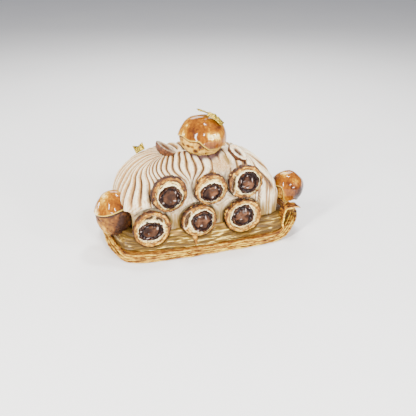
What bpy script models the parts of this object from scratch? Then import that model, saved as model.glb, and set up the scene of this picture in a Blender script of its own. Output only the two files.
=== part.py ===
"""Oblong Saint Honore cake with hazelnut cream, cut open along its front.

Lengths are in metres, +Z is up and the cut side faces -Y.
The origin is the middle of the pastry's flat underside.
"""

import math

import bmesh
import bpy
from mathutils import Matrix, Vector, noise

# Clearance between pieces that touch
GAP = 0.0004

# Puff pastry base: rim reach to the right, back, left and front, and how far its edge curls up
PASTRY_HALVES = (0.1085, 0.0670, 0.1050, 0.0636)
PASTRY_POWERS = (2.6, 2.8, 4.6, 4.2)
PASTRY_THICK = 0.0096
PASTRY_LAYERS = 4
PASTRY_COLUMNS = 60
CURL_ANGLES = (1.22, 0.42, 0.60, 0.05)
CURL_WIDTHS = (0.0330, 0.0180, 0.0190, 0.0060)
CURL_SPREADS = (0.62, 0.86)

# Flake that peels off the right end and curls over: its path in X and Z
FLAKE_PATH = (
    (0.0812, 0.0120),
    (0.0808, 0.0215),
    (0.0820, 0.0285),
    (0.0856, 0.0332),
    (0.0908, 0.0352),
    (0.0962, 0.0350),
    (0.1004, 0.0330),
)
FLAKE_Y = -0.0490
FLAKE_HALF_WIDTH = 0.0060
FLAKE_THICK = 0.0030

# Creme patissiere spread over the pastry
CREME_LOW = 0.0100
CREME_TOP = 0.0270
CREME_HALVES = (0.0860, 0.0520, 0.0930, 0.0510)
CREME_POWERS = (2.6, 2.6, 5.0, 7.0)
CREME_COLUMNS = 48

# Whipped cream dome
DOME_MIDDLE = Vector((-0.0070, -0.0120, 0.0420))
DOME_HALVES = (0.0852, 0.0650, 0.0855, 0.0385)
DOME_POWERS = (2.6, 2.6, 6.4, 6.4)
DOME_HIGH_POWER = 2.8
DOME_RISE = 0.0565
DOME_PROFILE = 2.5
DOME_FOOT = 0.0273
DOME_TUCKS = (-0.0030, 0.0040, 0.0125, 0.0010)
RIDGES = 44
RIDGE_DEPTH = 0.0019
RIDGE_PROFILE = (-0.75, 0.55, 0.55)
DOME_ROWS = 7
HUB_HALVES = (0.0260, 0.0050)
PLEAT = Vector((-0.0200, -0.0480, 0.0740))

# Bend of each ridge: distance from the rim to the bend at the right and what is added towards the left,
# then the turn, middle angle and spread of the swirl round the left end
BEND_TO_RIM = (0.0180, 0.0180)
SWIRL = 0.95
SWIRL_ANGLE = math.radians(192.0)
SWIRL_SPREAD = math.radians(38.0)

# Cut choux: middle X and Z on the cut, half width, half height, depth behind the cut and a seed
CUT_Y = -0.0550
CUT_CHOUX = (
    (-0.0457, 0.0706, 0.0186, 0.0194, 0.0176, 1),
    (-0.0017, 0.0700, 0.0173, 0.0168, 0.0160, 2),
    (0.0358, 0.0728, 0.0187, 0.0184, 0.0172, 3),
    (-0.0644, 0.0339, 0.0198, 0.0196, 0.0180, 4),
    (-0.0144, 0.0360, 0.0188, 0.0176, 0.0172, 5),
    (0.0346, 0.0334, 0.0203, 0.0186, 0.0180, 6),
)
# Praline in each cut choux: middle X and Z, half width and half height
PRALINES = (
    (-0.0451, 0.0668, 0.0122, 0.0126),
    (-0.0012, 0.0664, 0.0122, 0.0100),
    (0.0384, 0.0716, 0.0117, 0.0130),
    (-0.0655, 0.0320, 0.0138, 0.0106),
    (-0.0112, 0.0345, 0.0122, 0.0124),
    (0.0337, 0.0342, 0.0126, 0.0128),
)
PRALINE_DEPTH = 0.0100
PRALINE_BULGE = 0.0020
# Air pockets in the crumb: choux number, middle X and Z, half width and half height
POCKETS = (
    (3, 0.0230, 0.0714, 0.0019, 0.0062),
    (4, -0.0672, 0.0460, 0.0046, 0.0020),
    (4, -0.0562, 0.0438, 0.0042, 0.0019),
    (5, -0.0272, 0.0387, 0.0027, 0.0058),
)
POCKET_DEPTH = 0.0030

# Caramel choux: name, middle, half sizes, caramel's axis, reach of the caramel, columns, rings and a seed
GLAZED_CHOUX = (
    ("top", (0.0026, -0.0120, 0.1120), (0.0238, 0.0234, 0.0208), (0.30, -0.06, 1.00), 1.72, 16, 9, 11),
    ("left", (-0.0964, -0.0210, 0.0412), (0.0186, 0.0198, 0.0238), (-0.24, 0.10, 0.96), 1.26, 16, 8, 12),
    ("right", (0.0952, -0.0300, 0.0492), (0.0162, 0.0162, 0.0158), (0.60, -0.25, 0.74), 1.72, 16, 8, 13),
    ("back_left", (-0.0520, 0.0550, 0.0370), (0.0180, 0.0178, 0.0182), (0.00, 0.35, 0.94), 1.50, 12, 7, 14),
    ("back_middle", (0.0050, 0.0580, 0.0370), (0.0182, 0.0178, 0.0180), (0.05, 0.40, 0.92), 1.50, 12, 7, 15),
    ("back_right", (0.0580, 0.0510, 0.0370), (0.0178, 0.0176, 0.0182), (0.10, 0.35, 0.93), 1.50, 12, 7, 16),
)
GLAZED_ROUGH = 0.05
CARAMEL_GAP = 0.0005
CARAMEL_THICK = 0.0011
CARAMEL_WAVE = 0.22
# Edge of the caramel on the near side of three choux: bearings round the caramel's axis, and the reach there
CARAMEL_EDGES = {
    "top": ((-3.46, 1.87), (-2.83, 1.60), (-2.45, 1.70), (-2.03, 1.55), (-1.50, 1.87), (-0.53, 1.56)),
    "left": ((-3.04, 1.22), (-2.19, 1.29), (-1.28, 1.30), (-0.51, 1.48)),
    "right": ((-3.53, 1.25), (-2.99, 1.38), (-2.55, 1.63), (-2.27, 1.63), (-2.01, 2.00), (-1.59, 2.10)),
}

# Half hazelnuts: name, middle of the cut face, outward normal of that face, long axis
HAZELNUTS = (
    ("left", (-0.0371, -0.0140, 0.1047), (0.520, -0.099, 0.853), (0.724, -0.480, -0.499)),
    ("right", (0.0368, -0.0285, 0.0958), (0.440, -0.408, 0.800), (0.627, -0.497, -0.598)),
)
HAZELNUT_HALVES = (0.0120, 0.0094, 0.0090)
HAZELNUT_HOLLOW = (0.0046, 0.0030, 0.0026)

# Gold leaf on the top choux: name, polar angle at its start and end, turn, half width, lift at its start
# and end, and a seed. The scrap stands on the cream.
LEAVES = (
    ("gold_leaf_spike", 0.30, -0.16, 0.10, 0.0026, 0.0004, 0.0058, 1.0),
    ("gold_leaf_drape", 0.22, 0.92, -0.62, 0.0042, 0.0030, 0.0006, 2.0),
)
LEAF_THICK = 0.0003
LEAF_CRUMPLE = 0.0010
SCRAP_MIDDLE = Vector((-0.0580, 0.0180, 0.0900))

# Name, colour, roughness and metallic value of each finish
FINISHES = {
    "pastry": ((0.60, 0.34, 0.13), 0.60, 0.0),
    "creme": ((0.62, 0.44, 0.17), 0.45, 0.0),
    "cream": ((0.82, 0.70, 0.56), 0.50, 0.0),
    "crust": ((0.58, 0.31, 0.11), 0.60, 0.0),
    "praline": ((0.13, 0.055, 0.03), 0.22, 0.0),
    "caramel": ((0.56, 0.22, 0.04), 0.12, 0.0),
    "hazelnut": ((0.30, 0.13, 0.06), 0.50, 0.0),
    "gold": ((0.83, 0.66, 0.25), 0.30, 1.0),
}


def clear_scene():
    """Remove everything that the scene starts with."""
    for item in list(bpy.data.objects):
        bpy.data.objects.remove(item)


def make_collection(name):
    """Return a new collection linked to the scene."""
    group = bpy.data.collections.new(name)
    bpy.context.scene.collection.children.link(group)
    return group


def make_finish(name):
    """Return a new material for one object from the table of finishes."""
    colour, roughness, metallic = FINISHES[name]
    material = bpy.data.materials.new(name)
    material.use_nodes = True
    shader = material.node_tree.nodes["Principled BSDF"]
    shader.inputs["Base Color"].default_value = (*colour, 1.0)
    shader.inputs["Roughness"].default_value = roughness
    shader.inputs["Metallic"].default_value = metallic
    return material


def place(name, mesh, group, finish=None):
    """Turn a bmesh into a named object in a collection."""
    bmesh.ops.recalc_face_normals(mesh, faces=mesh.faces)
    data = bpy.data.meshes.new(name)
    mesh.to_mesh(data)
    mesh.free()
    item = bpy.data.objects.new(name, data)
    group.objects.link(item)
    if finish:
        data.materials.append(make_finish(finish))
    else:
        item.hide_render = True
        item.display_type = "WIRE"
    return item


def combine(item, tool, operation):
    """Add an exact Boolean with a cutter or an addition."""
    step = item.modifiers.new(tool.name, "BOOLEAN")
    step.operation = operation
    step.solver = "EXACT"
    step.object = tool


def smooth(start, end, value):
    """Return 0 at start and before it, 1 at end and past it, and an even blend between them."""
    share = min(max((value - start) / (end - start), 0.0), 1.0)
    return share * share * (3.0 - 2.0 * share)


def outline_radius(angle, halves, powers):
    """Return the reach of a rounded oblong at an angle; halves run right, back, left, front."""
    across = math.cos(angle)
    along = math.sin(angle)
    width = halves[0] if across > 0.0 else halves[2]
    depth = halves[1] if along > 0.0 else halves[3]
    quarter = (0 if across > 0.0 else 1) if along > 0.0 else (2 if across < 0.0 else 3)
    power = powers[quarter]
    total = abs(across / width) ** power + abs(along / depth) ** power
    return total ** (-1.0 / power)


def spaced_angles(count, halves, powers):
    """Return angles whose points lie evenly spaced along a rounded oblong, from the back middle on."""
    fine = 1440
    angles = [math.pi / 2 + math.tau * step / fine for step in range(fine + 1)]
    lengths = [0.0]
    last = None
    for angle in angles:
        reach = outline_radius(angle, halves, powers)
        spot = Vector((reach * math.cos(angle), reach * math.sin(angle)))
        if last is not None:
            lengths.append(lengths[-1] + (spot - last).length)
        last = spot
    chosen = []
    step = 0
    for number in range(count):
        wanted = lengths[-1] * number / count
        while lengths[step + 1] < wanted:
            step += 1
        share = (wanted - lengths[step]) / (lengths[step + 1] - lengths[step])
        chosen.append(angles[step] + share * (angles[step + 1] - angles[step]))
    return chosen


def close_end(mesh, ring, tip):
    """Close one end of a loft with a flat face, or with a fan to a tip."""
    if tip is None:
        mesh.faces.new(ring)
        return
    middle = mesh.verts.new(tip)
    for here, after in zip(ring, ring[1:] + ring[:1]):
        mesh.faces.new((middle, here, after))


def loft(rings, low=None, high=None):
    """Return a closed mesh through equal rings of points, with a flat face or a fanned tip at each end."""
    mesh = bmesh.new()
    rows = [[mesh.verts.new(point) for point in ring] for ring in rings]
    count = len(rows[0])
    for below, above in zip(rows, rows[1:]):
        for column in range(count):
            after = (column + 1) % count
            mesh.faces.new((below[column], below[after], above[after]))
            mesh.faces.new((below[column], above[after], above[column]))
    close_end(mesh, rows[0][::-1], low)
    close_end(mesh, rows[-1], high)
    bmesh.ops.triangulate(mesh, faces=mesh.faces)
    return mesh


def curl_of_edge(angle, reach):
    """Return how far the pastry's edge curls up at an angle, and the width that curls."""
    right = math.cos(angle) > 0.0
    side = 0 if right else 2
    other = 1 if math.sin(angle) > 0.0 else 3
    half = PASTRY_HALVES[side]
    spread = CURL_SPREADS[0] if right else CURL_SPREADS[1]
    share = smooth(spread, 0.99, reach * abs(math.cos(angle)) / half)
    curl = CURL_ANGLES[side] * share + CURL_ANGLES[other] * (1.0 - share)
    width = CURL_WIDTHS[side] * share + CURL_WIDTHS[other] * (1.0 - share)
    return curl, width


def pastry_inside(angle, height):
    """Return how far the hollow of the pastry reaches at an angle and a height above its flat top."""
    reach = outline_radius(angle, PASTRY_HALVES, PASTRY_POWERS)
    curl, width = curl_of_edge(angle, reach)
    bend = width / curl
    start = reach - bend * math.sin(curl)
    inner = bend - PASTRY_THICK
    turn = math.acos(max(-1.0, min(1.0, (bend - height) / inner)))
    return start + inner * math.sin(min(turn, curl))


def pastry_section(angle):
    """Return one column of points up the curled, layered edge of the pastry, from its underside."""
    way = Vector((math.cos(angle), math.sin(angle), 0.0))
    up = Vector((0.0, 0.0, 1.0))
    reach = outline_radius(angle, PASTRY_HALVES, PASTRY_POWERS)
    curl, width = curl_of_edge(angle, reach)
    bend = width / curl
    start = reach - bend * math.sin(curl)
    hub = start * way
    points = []
    for share in (0.0, 0.55):
        turn = curl * share
        points.append(hub + way * bend * math.sin(turn) + up * bend * (1.0 - math.cos(turn)))
    tip = hub + way * bend * math.sin(curl) + up * bend * (1.0 - math.cos(curl))
    across = -way * math.sin(curl) + up * math.cos(curl)
    outward = way * math.cos(curl) + up * math.sin(curl)
    layer = PASTRY_THICK / PASTRY_LAYERS
    points.append(tip - outward * 0.0012)
    for number in range(PASTRY_LAYERS):
        spot = Vector((way.x * 9.0, way.y * 6.0, number * 3.7))
        flare = 0.0010 + 0.0016 * noise.noise(spot)
        points.append(tip + across * layer * (number + 0.5) + outward * flare)
        if number < PASTRY_LAYERS - 1:
            notch = -0.0009 + 0.0010 * noise.noise(spot * 1.7)
            points.append(tip + across * layer * (number + 0.96) + outward * notch)
    points.append(tip + across * PASTRY_THICK - outward * 0.0014)
    for share in (0.55, 0.0):
        turn = curl * share
        inner = bend - PASTRY_THICK
        points.append(hub + way * inner * math.sin(turn) + up * (bend - inner * math.cos(turn)))
    return points


def pastry_mesh():
    """Return the flaky pastry base with its raised ends."""
    angles = spaced_angles(PASTRY_COLUMNS, PASTRY_HALVES, PASTRY_POWERS)
    columns = [pastry_section(angle) for angle in angles]
    return loft([list(ring) for ring in zip(*columns)])


def flake_mesh(grow):
    """Return the curled flake of the right end, a ragged strip that follows a path in X and Z."""
    mesh = bmesh.new()
    rows = []
    for number, (x, z) in enumerate(FLAKE_PATH):
        row = []
        for share in (-1.0, -0.35, 0.35, 1.0):
            rag = 0.0016 * noise.noise(Vector((number * 1.3, share * 2.0, 5.0)))
            y = FLAKE_Y + share * (FLAKE_HALF_WIDTH + rag + grow)
            row.append(mesh.verts.new((x + rag * 0.5, y, z + rag * 0.4)))
        rows.append(row)
    for below, above in zip(rows, rows[1:]):
        for column in range(3):
            mesh.faces.new((below[column], below[column + 1], above[column + 1], above[column]))
    bmesh.ops.triangulate(mesh, faces=mesh.faces)
    bmesh.ops.recalc_face_normals(mesh, faces=mesh.faces)
    for vertex in mesh.verts:
        vertex.co += vertex.normal * grow
    bmesh.ops.solidify(mesh, geom=mesh.faces, thickness=FLAKE_THICK + 2.0 * grow)
    return mesh


def creme_mesh():
    """Return the creme patissiere, which bulges forward under the choux and fills the hollow ends."""
    levels = ((0.0085, CREME_LOW), (0.0100, 0.0130), (0.0075, 0.0175), (0.0035, 0.0225), (0.0, CREME_TOP))
    rings = []
    for spread, height in levels:
        ring = []
        for angle in spaced_angles(CREME_COLUMNS, CREME_HALVES, CREME_POWERS):
            reach = outline_radius(angle, CREME_HALVES, CREME_POWERS) + spread
            wave = noise.noise(Vector((math.cos(angle) * 7.0, math.sin(angle) * 4.0, height * 260.0)))
            reach += 0.0012 * wave * smooth(0.0, 0.003, spread)
            reach = min(reach, pastry_inside(angle, height) - 0.0035)
            ring.append(Vector((reach * math.cos(angle), reach * math.sin(angle), height)))
        rings.append(ring)
    return loft(rings)


def dome_shares(spot):
    """Return how far a point lies from the dome's middle, in plan and in height, as shares of the dome."""
    away = spot - DOME_MIDDLE
    width = DOME_HALVES[0] if away.x > 0.0 else DOME_HALVES[2]
    depth = DOME_HALVES[1] if away.y > 0.0 else DOME_HALVES[3]
    square = smooth(0.080, 0.056, spot.z)
    front = DOME_HIGH_POWER * (1.0 - square) + DOME_POWERS[2] * square
    power = DOME_POWERS[0] if away.y > 0.0 else front
    plan = (abs(away.x / width) ** power + abs(away.y / depth) ** power) ** (1.0 / power)
    return plan, max(away.z, 0.0) / DOME_RISE


def onto_dome(spot):
    """Return the point where the line from the dome's middle through a spot meets the smooth dome."""
    for _ in range(4):
        plan, height = dome_shares(spot)
        scale = (plan ** DOME_PROFILE + height ** DOME_PROFILE) ** (-1.0 / DOME_PROFILE)
        spot = DOME_MIDDLE + (spot - DOME_MIDDLE) * scale
    return spot


def dome_normal(spot):
    """Return the outward direction of the smooth dome at a point on it."""
    step = 0.00002
    plan, height = dome_shares(spot)
    base = plan ** DOME_PROFILE + height ** DOME_PROFILE
    slope = []
    for axis in range(3):
        beside = spot.copy()
        beside[axis] += step
        plan, height = dome_shares(beside)
        slope.append(plan ** DOME_PROFILE + height ** DOME_PROFILE - base)
    return Vector(slope).normalized()


def ridge_depth(spot, share):
    """Return how deep the piped ridges are at a point of the dome."""
    depth = RIDGE_DEPTH * smooth(0.04, 0.34, share)
    calm = smooth(-0.034, -0.044, spot.y) * smooth(-0.060, -0.046, spot.x) * smooth(0.083, 0.070, spot.z)
    smear = math.exp(-(((spot.x - 0.010) / 0.014) ** 2) - ((spot.y + 0.040) / 0.014) ** 2)
    low = smooth(-0.038, -0.046, spot.y) * smooth(-0.098, -0.086, spot.x) * smooth(0.066, 0.050, spot.z)
    return depth * (1.0 - 0.92 * max(calm, smear)) * (1.0 - 0.92 * low)


def gathered(spot):
    """Return a point of the dome spread sideways under the top choux and gathered in the pleat below."""
    away = spot.x - PLEAT.x
    front = smooth(-0.020, -0.034, spot.y) * math.exp(-((away / 0.024) ** 2))
    above = spot.z - PLEAT.z
    pull = 0.78 * math.exp(-((above / 0.0100) ** 2)) - 0.42 * math.exp(-(((above - 0.0150) / 0.0075) ** 2))
    return onto_dome(spot - Vector((away * front * pull, 0.0, 0.0)))


def cream_tuck(angle):
    """Return how far the foot of the cream draws in at an angle."""
    across = math.cos(angle)
    back = math.sin(angle) > 0.0
    side = DOME_TUCKS[0] if across > 0.0 else DOME_TUCKS[2]
    other = DOME_TUCKS[1] if back else DOME_TUCKS[3]
    share = smooth(0.55 if back else 0.88, 0.98, abs(across))
    return side * share + other * (1.0 - share)


def cream_path(angle, rim, chord):
    """Return the start and the bend of a ridge in plan, for its rim point and the rim's direction there."""
    hub_x = HUB_HALVES[0] * math.tanh(0.85 * rim.x / HUB_HALVES[0])
    hub_y = HUB_HALVES[1] * math.tanh(rim.y / 0.020)
    swirl = math.exp(-(((angle % math.tau - SWIRL_ANGLE) / SWIRL_SPREAD) ** 2))
    heading = math.atan2(chord.x, -chord.y) + SWIRL * swirl
    length = BEND_TO_RIM[0] + BEND_TO_RIM[1] * smooth(0.35, -0.15, math.cos(angle))
    bend = rim + length * Vector((math.cos(heading), math.sin(heading), 0.0))
    return Vector((hub_x, hub_y, 0.0)), bend


def cream_column(angle, rim, chord, crest):
    """Return one line of points down a ridge or a groove of the cream, from the hub to the foot."""
    hub, bend = cream_path(angle, rim, chord)
    column = []
    for row in range(DOME_ROWS + 1):
        share = 0.920 * row / DOME_ROWS
        reached = math.sin(math.pi / 2 * share) ** (2.0 / DOME_PROFILE)
        level = math.cos(math.pi / 2 * share) ** (2.0 / DOME_PROFILE)
        plan = hub.lerp(bend, reached).lerp(bend.lerp(rim, reached), reached)
        spot = gathered(onto_dome(DOME_MIDDLE + plan + Vector((0.0, 0.0, DOME_RISE * level))))
        column.append(spot + dome_normal(spot) * ridge_depth(spot, share) * crest)
    ridged = column[-1]
    outward = Vector((math.cos(angle), math.sin(angle), 0.0))
    for share, level in ((0.72, 0.0484), (0.94, 0.0370), (1.0, DOME_FOOT)):
        edge = ridged.lerp(spot, share) - outward * cream_tuck(angle) * share
        column.append(Vector((edge.x, edge.y, level)))
    return column


def cream_mesh():
    """Return the whipped cream dome with ridges that fan out from under the top choux."""
    angles = spaced_angles(RIDGES * 3, DOME_HALVES, DOME_POWERS)
    rims = []
    for angle in angles:
        reach = outline_radius(angle, DOME_HALVES, DOME_POWERS)
        rims.append(Vector((reach * math.cos(angle), reach * math.sin(angle), 0.0)))
    columns = []
    for number, angle in enumerate(angles):
        chord = rims[(number + 3) % len(rims)] - rims[number - 3]
        columns.append(cream_column(angle, rims[number], chord, RIDGE_PROFILE[number % 3]))
    rings = [list(ring) for ring in zip(*columns)]
    top = onto_dome(DOME_MIDDLE + Vector((0.0, 0.0, 0.001)))
    return loft(rings, low=top)


def skin_point(middle, halves, way, seed, rough, lift):
    """Return a point on a lumpy baked ball in one direction, moved outward by a lift."""
    swell = 1.0 + rough * noise.noise(way * 1.9 + Vector((7.3 * seed, 3.1 * seed, 5.7 * seed)))
    flat = Vector((way.x * halves[0], way.y * halves[1], way.z * halves[2]))
    return Vector(middle) + flat * swell + way * lift


def ball_mesh(middle, halves, seed, rough, columns, rings, lift, turn=None):
    """Return a lumpy ball made from a UV sphere; the lift is a length or a function of the direction."""
    mesh = bmesh.new()
    bmesh.ops.create_uvsphere(mesh, u_segments=columns, v_segments=rings, radius=1.0)
    if turn:
        bmesh.ops.transform(mesh, matrix=turn, verts=mesh.verts)
    for vertex in mesh.verts:
        way = vertex.co.normalized()
        raised = lift(way) if callable(lift) else lift
        vertex.co = skin_point(middle, halves, way, seed, rough, raised)
    bmesh.ops.triangulate(mesh, faces=mesh.faces, quad_method="FIXED")
    return mesh


def facing_front():
    """Return the turn that points a sphere's poles along Y."""
    return Matrix.Rotation(math.pi / 2, 4, "X")


def cut_choux_mesh(x, z, width, height, depth, seed, lift):
    """Return a whole lumpy ball whose middle lies on the cut."""
    middle = (x, CUT_Y, z)
    return ball_mesh(middle, (width, depth, height), seed, 0.06, 18, 8, lift, facing_front())


def halve(mesh):
    """Cut a ball along the cut plane and keep the half behind it."""
    front = [vertex for vertex in mesh.verts if vertex.co.y < CUT_Y - 0.00001]
    bmesh.ops.delete(mesh, geom=front, context="VERTS")
    rim = [edge for edge in mesh.edges if edge.is_boundary]
    bmesh.ops.contextual_create(mesh, geom=rim)
    return mesh


def praline_mesh(number, lift, bulge):
    """Return the praline that fills one cut choux, with its surface swelling out of the cut."""
    x, z, width, height = PRALINES[number]
    mesh = ball_mesh((x, 0.0, z), (width, 1.0, height), 20 + number, 0.22, 12, 6, 0.0, facing_front())
    for vertex in mesh.verts:
        away = Vector((vertex.co.x - x, 0.0, vertex.co.z - z))
        side = away.normalized() * lift if away.length > 0.0 else Vector()
        level = vertex.co.y
        depth = level * (PRALINE_DEPTH + lift) if level > 0.0 else level * bulge
        vertex.co = vertex.co + side
        vertex.co.y = CUT_Y + depth
    return mesh


def pocket_mesh(x, z, width, height):
    """Return the cutter for an air pocket in the crumb."""
    mesh = bmesh.new()
    bmesh.ops.create_uvsphere(mesh, u_segments=10, v_segments=6, radius=1.0)
    for vertex in mesh.verts:
        point = vertex.co
        vertex.co = Vector((x + point.x * width, CUT_Y + point.y * POCKET_DEPTH, z + point.z * height))
    return mesh


def glazed_ring(values, polars, lift):
    """Return a ring of points on a caramel choux, one per column, at angles from the caramel's axis."""
    middle, halves, axis, _, columns, _, seed = values[1:]
    turn = Vector((0.0, 0.0, 1.0)).rotation_difference(Vector(axis))
    ring = []
    for column, polar in enumerate(polars):
        angle = math.tau * column / columns
        flat = math.sin(polar)
        way = turn @ Vector((flat * math.cos(angle), flat * math.sin(angle), math.cos(polar)))
        raised = lift(way) if callable(lift) else lift
        ring.append(skin_point(middle, halves, way, seed, GLAZED_ROUGH, raised))
    return ring


def glazed_ball(values, lift):
    """Return the lumpy body of one caramel choux, moved outward by a lift."""
    columns, rings = values[5:7]
    loops = [glazed_ring(values, [math.pi * number / rings] * columns, lift) for number in range(1, rings)]
    head = glazed_ring(values, [0.0], lift)[0]
    foot = glazed_ring(values, [math.pi], lift)[0]
    return loft(loops, head, foot)


def caramel_reach(angle, reach, seed, edge):
    """Return how far the caramel runs down at an angle round its axis, along a given edge where it has one."""
    spot = Vector((math.cos(angle) * 1.6, math.sin(angle) * 1.6, seed * 2.3))
    wavy = reach + CARAMEL_WAVE * noise.noise(spot)
    for (first, low), (last, high) in zip(edge, edge[1:]):
        turned = first + (angle - first) % math.tau
        if turned <= last:
            return low + (high - low) * (turned - first) / (last - first)
    return wavy


def caramel_mesh(values):
    """Return the caramel shell over one side of a choux, with the same facets as the choux."""
    reach, columns, rings, seed = values[4:]
    edge = CARAMEL_EDGES.get(values[0], ())
    edges = [caramel_reach(math.tau * column / columns, reach, seed, edge) for column in range(columns)]
    whole = int(max(edges) / (math.pi / rings))
    skin = CARAMEL_GAP + CARAMEL_THICK
    steps = [(number, CARAMEL_GAP) for number in range(1, whole + 2)]
    steps += [(whole + 1, 0.7 * skin)]
    steps += [(number, skin) for number in range(whole, 0, -1)]
    loops = []
    for number, lift in steps:
        polars = [min(math.pi * number / rings, edge - 0.03 * (whole + 1 - number)) for edge in edges]
        loops.append(glazed_ring(values, polars, lift))
    inner = glazed_ring(values, [0.0], CARAMEL_GAP)[0]
    outer = glazed_ring(values, [0.0], skin)[0]
    return loft(loops, inner, outer)


def glazed_socket_lift(values):
    """Return the function that clears a socket for a choux and its caramel."""
    pole = Vector(values[3]).normalized()
    reach = values[4]

    def lift(way):
        covered = pole.angle(way) < reach + 0.60
        return CARAMEL_GAP + CARAMEL_THICK + 2.0 * GAP if covered else GAP

    return lift


def hazelnut_turn(middle, face, along):
    """Return the placing of a half hazelnut from its cut face's middle, outward normal and long axis."""
    normal = Vector(face).normalized()
    length = Vector(along)
    length = (length - normal * length.dot(normal)).normalized()
    side = normal.cross(length)
    return Matrix.Translation(middle) @ Matrix((length, side, normal)).transposed().to_4x4()


def hazelnut_mesh(turn, lift):
    """Return half a hazelnut, its cut face turned outward; the lift grows it for its socket."""
    mesh = bmesh.new()
    bmesh.ops.create_uvsphere(mesh, u_segments=14, v_segments=6, radius=1.0)
    above = [vertex for vertex in mesh.verts if vertex.co.z > 0.001]
    bmesh.ops.delete(mesh, geom=above, context="VERTS")
    rim = [edge for edge in mesh.edges if edge.is_boundary]
    bmesh.ops.contextual_create(mesh, geom=rim)
    grown = [half + lift for half in HAZELNUT_HALVES]
    for vertex in mesh.verts:
        point = vertex.co.copy()
        taper = 1.0 - 0.16 * max(point.x, 0.0)
        vertex.co = Vector((point.x * grown[0], point.y * grown[1] * taper, point.z * grown[2]))
    bmesh.ops.transform(mesh, matrix=turn, verts=mesh.verts)
    return mesh


def hollow_mesh(turn):
    """Return the cutter for the hollow in a hazelnut's cut face."""
    mesh = bmesh.new()
    bmesh.ops.create_uvsphere(mesh, u_segments=10, v_segments=6, radius=1.0)
    bmesh.ops.scale(mesh, vec=HAZELNUT_HOLLOW, verts=mesh.verts)
    bmesh.ops.transform(mesh, matrix=turn, verts=mesh.verts)
    return mesh


def leaf_mesh(places, rows, down):
    """Return a thin crumpled leaf through rows of points, with both faces split alike."""
    mesh = bmesh.new()
    upper = [mesh.verts.new(spot) for spot in places]
    lower = [mesh.verts.new(spot + down * LEAF_THICK) for spot in places]
    across = len(upper) // rows
    for row in range(rows - 1):
        for column in range(across - 1):
            first = row * across + column
            second = first + across
            for corners in ((first, first + 1, second), (first + 1, second + 1, second)):
                mesh.faces.new([upper[corner] for corner in corners])
                mesh.faces.new([lower[corner] for corner in reversed(corners)])
    border = list(range(across))
    border += [row * across + across - 1 for row in range(1, rows)]
    border += list(range(rows * across - 2, (rows - 1) * across - 1, -1))
    border += [row * across for row in range(rows - 2, 0, -1)]
    for here, after in zip(border, border[1:] + border[:1]):
        mesh.faces.new((upper[after], upper[here], lower[here], lower[after]))
    bmesh.ops.triangulate(mesh, faces=mesh.faces)
    return mesh


def leaf_points(start, stop, turn, half_width, first_lift, last_lift, seed):
    """Return points of a crumpled strip of leaf that lies over the caramel of the top choux."""
    middle, halves = GLAZED_CHOUX[0][1:3]
    ball_seed = GLAZED_CHOUX[0][-1]
    points = []
    for row in range(4):
        for column in range(7):
            share = column / 6
            down = start + (stop - start) * share
            way = Vector((math.sin(down) * math.cos(turn), math.sin(down) * math.sin(turn), math.cos(down)))
            side = Vector((-math.sin(turn), math.cos(turn), 0.0))
            ragged = half_width * (1.0 + 0.5 * noise.noise(Vector((share * 4.0, row * 2.1, seed))))
            way = (way + side * ragged / halves[0] * (row - 1.5) / 1.5).normalized()
            crumple = LEAF_CRUMPLE * (1.0 + noise.noise(Vector((share * 6.0, row * 1.7, seed + 3.0))))
            lift = CARAMEL_GAP + CARAMEL_THICK + LEAF_THICK + GAP + crumple
            lift += first_lift + (last_lift - first_lift) * share
            points.append(skin_point(middle, halves, way, ball_seed, GLAZED_ROUGH, lift))
    return points


def scrap_points():
    """Return points of the small spiky scrap of gold leaf on the cream."""
    points = []
    for row in range(4):
        for column in range(6):
            side = Vector((0.0027 * (column - 2.5), 0.0018 * (row - 1.5), 0.0))
            spot = onto_dome(SCRAP_MIDDLE + side)
            rise = 0.0014 * row + 0.0008 * row * noise.noise(Vector((column * 1.9, row * 2.3, 4.0)))
            if column % 5 == 0:
                rise += 0.0013 * row
            elif column == 3:
                rise += 0.0008 * row
            points.append(spot + dome_normal(spot) * (RIDGE_DEPTH + 0.0011 + rise))
    return points


def build_base(parts, tools):
    """Build the puff pastry with its curled flake, and the creme patissiere on it."""
    pastry = place("puff_pastry", pastry_mesh(), parts, "pastry")
    flake = place("curled_flake", flake_mesh(0.0), tools)
    combine(pastry, flake, "UNION")
    creme = place("creme_patissiere", creme_mesh(), parts, "creme")
    room = place("room_for_flake", flake_mesh(GAP), tools)
    combine(creme, room, "DIFFERENCE")
    return creme


def build_cut_choux(parts, tools, cream, creme):
    """Build the halved choux with their praline, and their sockets in the cream and the creme."""
    for number, values in enumerate(CUT_CHOUX):
        label = number + 1
        shell = place(f"choux_cut_{label}", halve(cut_choux_mesh(*values, 0.0)), parts, "crust")
        cavity = place(f"cavity_{label}", praline_mesh(number, GAP, 0.0060), tools)
        combine(shell, cavity, "DIFFERENCE")
        place(f"praline_{label}", praline_mesh(number, 0.0, PRALINE_BULGE), parts, "praline")
        socket = place(f"socket_cut_{label}", cut_choux_mesh(*values, GAP), tools)
        combine(cream, socket, "DIFFERENCE")
        if values[1] < 0.050:
            combine(creme, socket, "DIFFERENCE")
        for owner, x, z, width, height in POCKETS:
            if owner == label:
                pocket = place(f"pocket_{label}", pocket_mesh(x, z, width, height), tools)
                combine(shell, pocket, "DIFFERENCE")


def build_glazed_choux(parts, tools, cream, creme):
    """Build the whole choux with their caramel, and their sockets."""
    for values in GLAZED_CHOUX:
        name = values[0]
        place(f"choux_{name}", glazed_ball(values, 0.0), parts, "crust")
        place(f"caramel_{name}", caramel_mesh(values), parts, "caramel")
        lift = GAP if name == "top" else glazed_socket_lift(values)
        socket = place(f"socket_{name}", glazed_ball(values, lift), tools)
        combine(cream, socket, "DIFFERENCE")
        if name != "top":
            combine(creme, socket, "DIFFERENCE")


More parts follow.
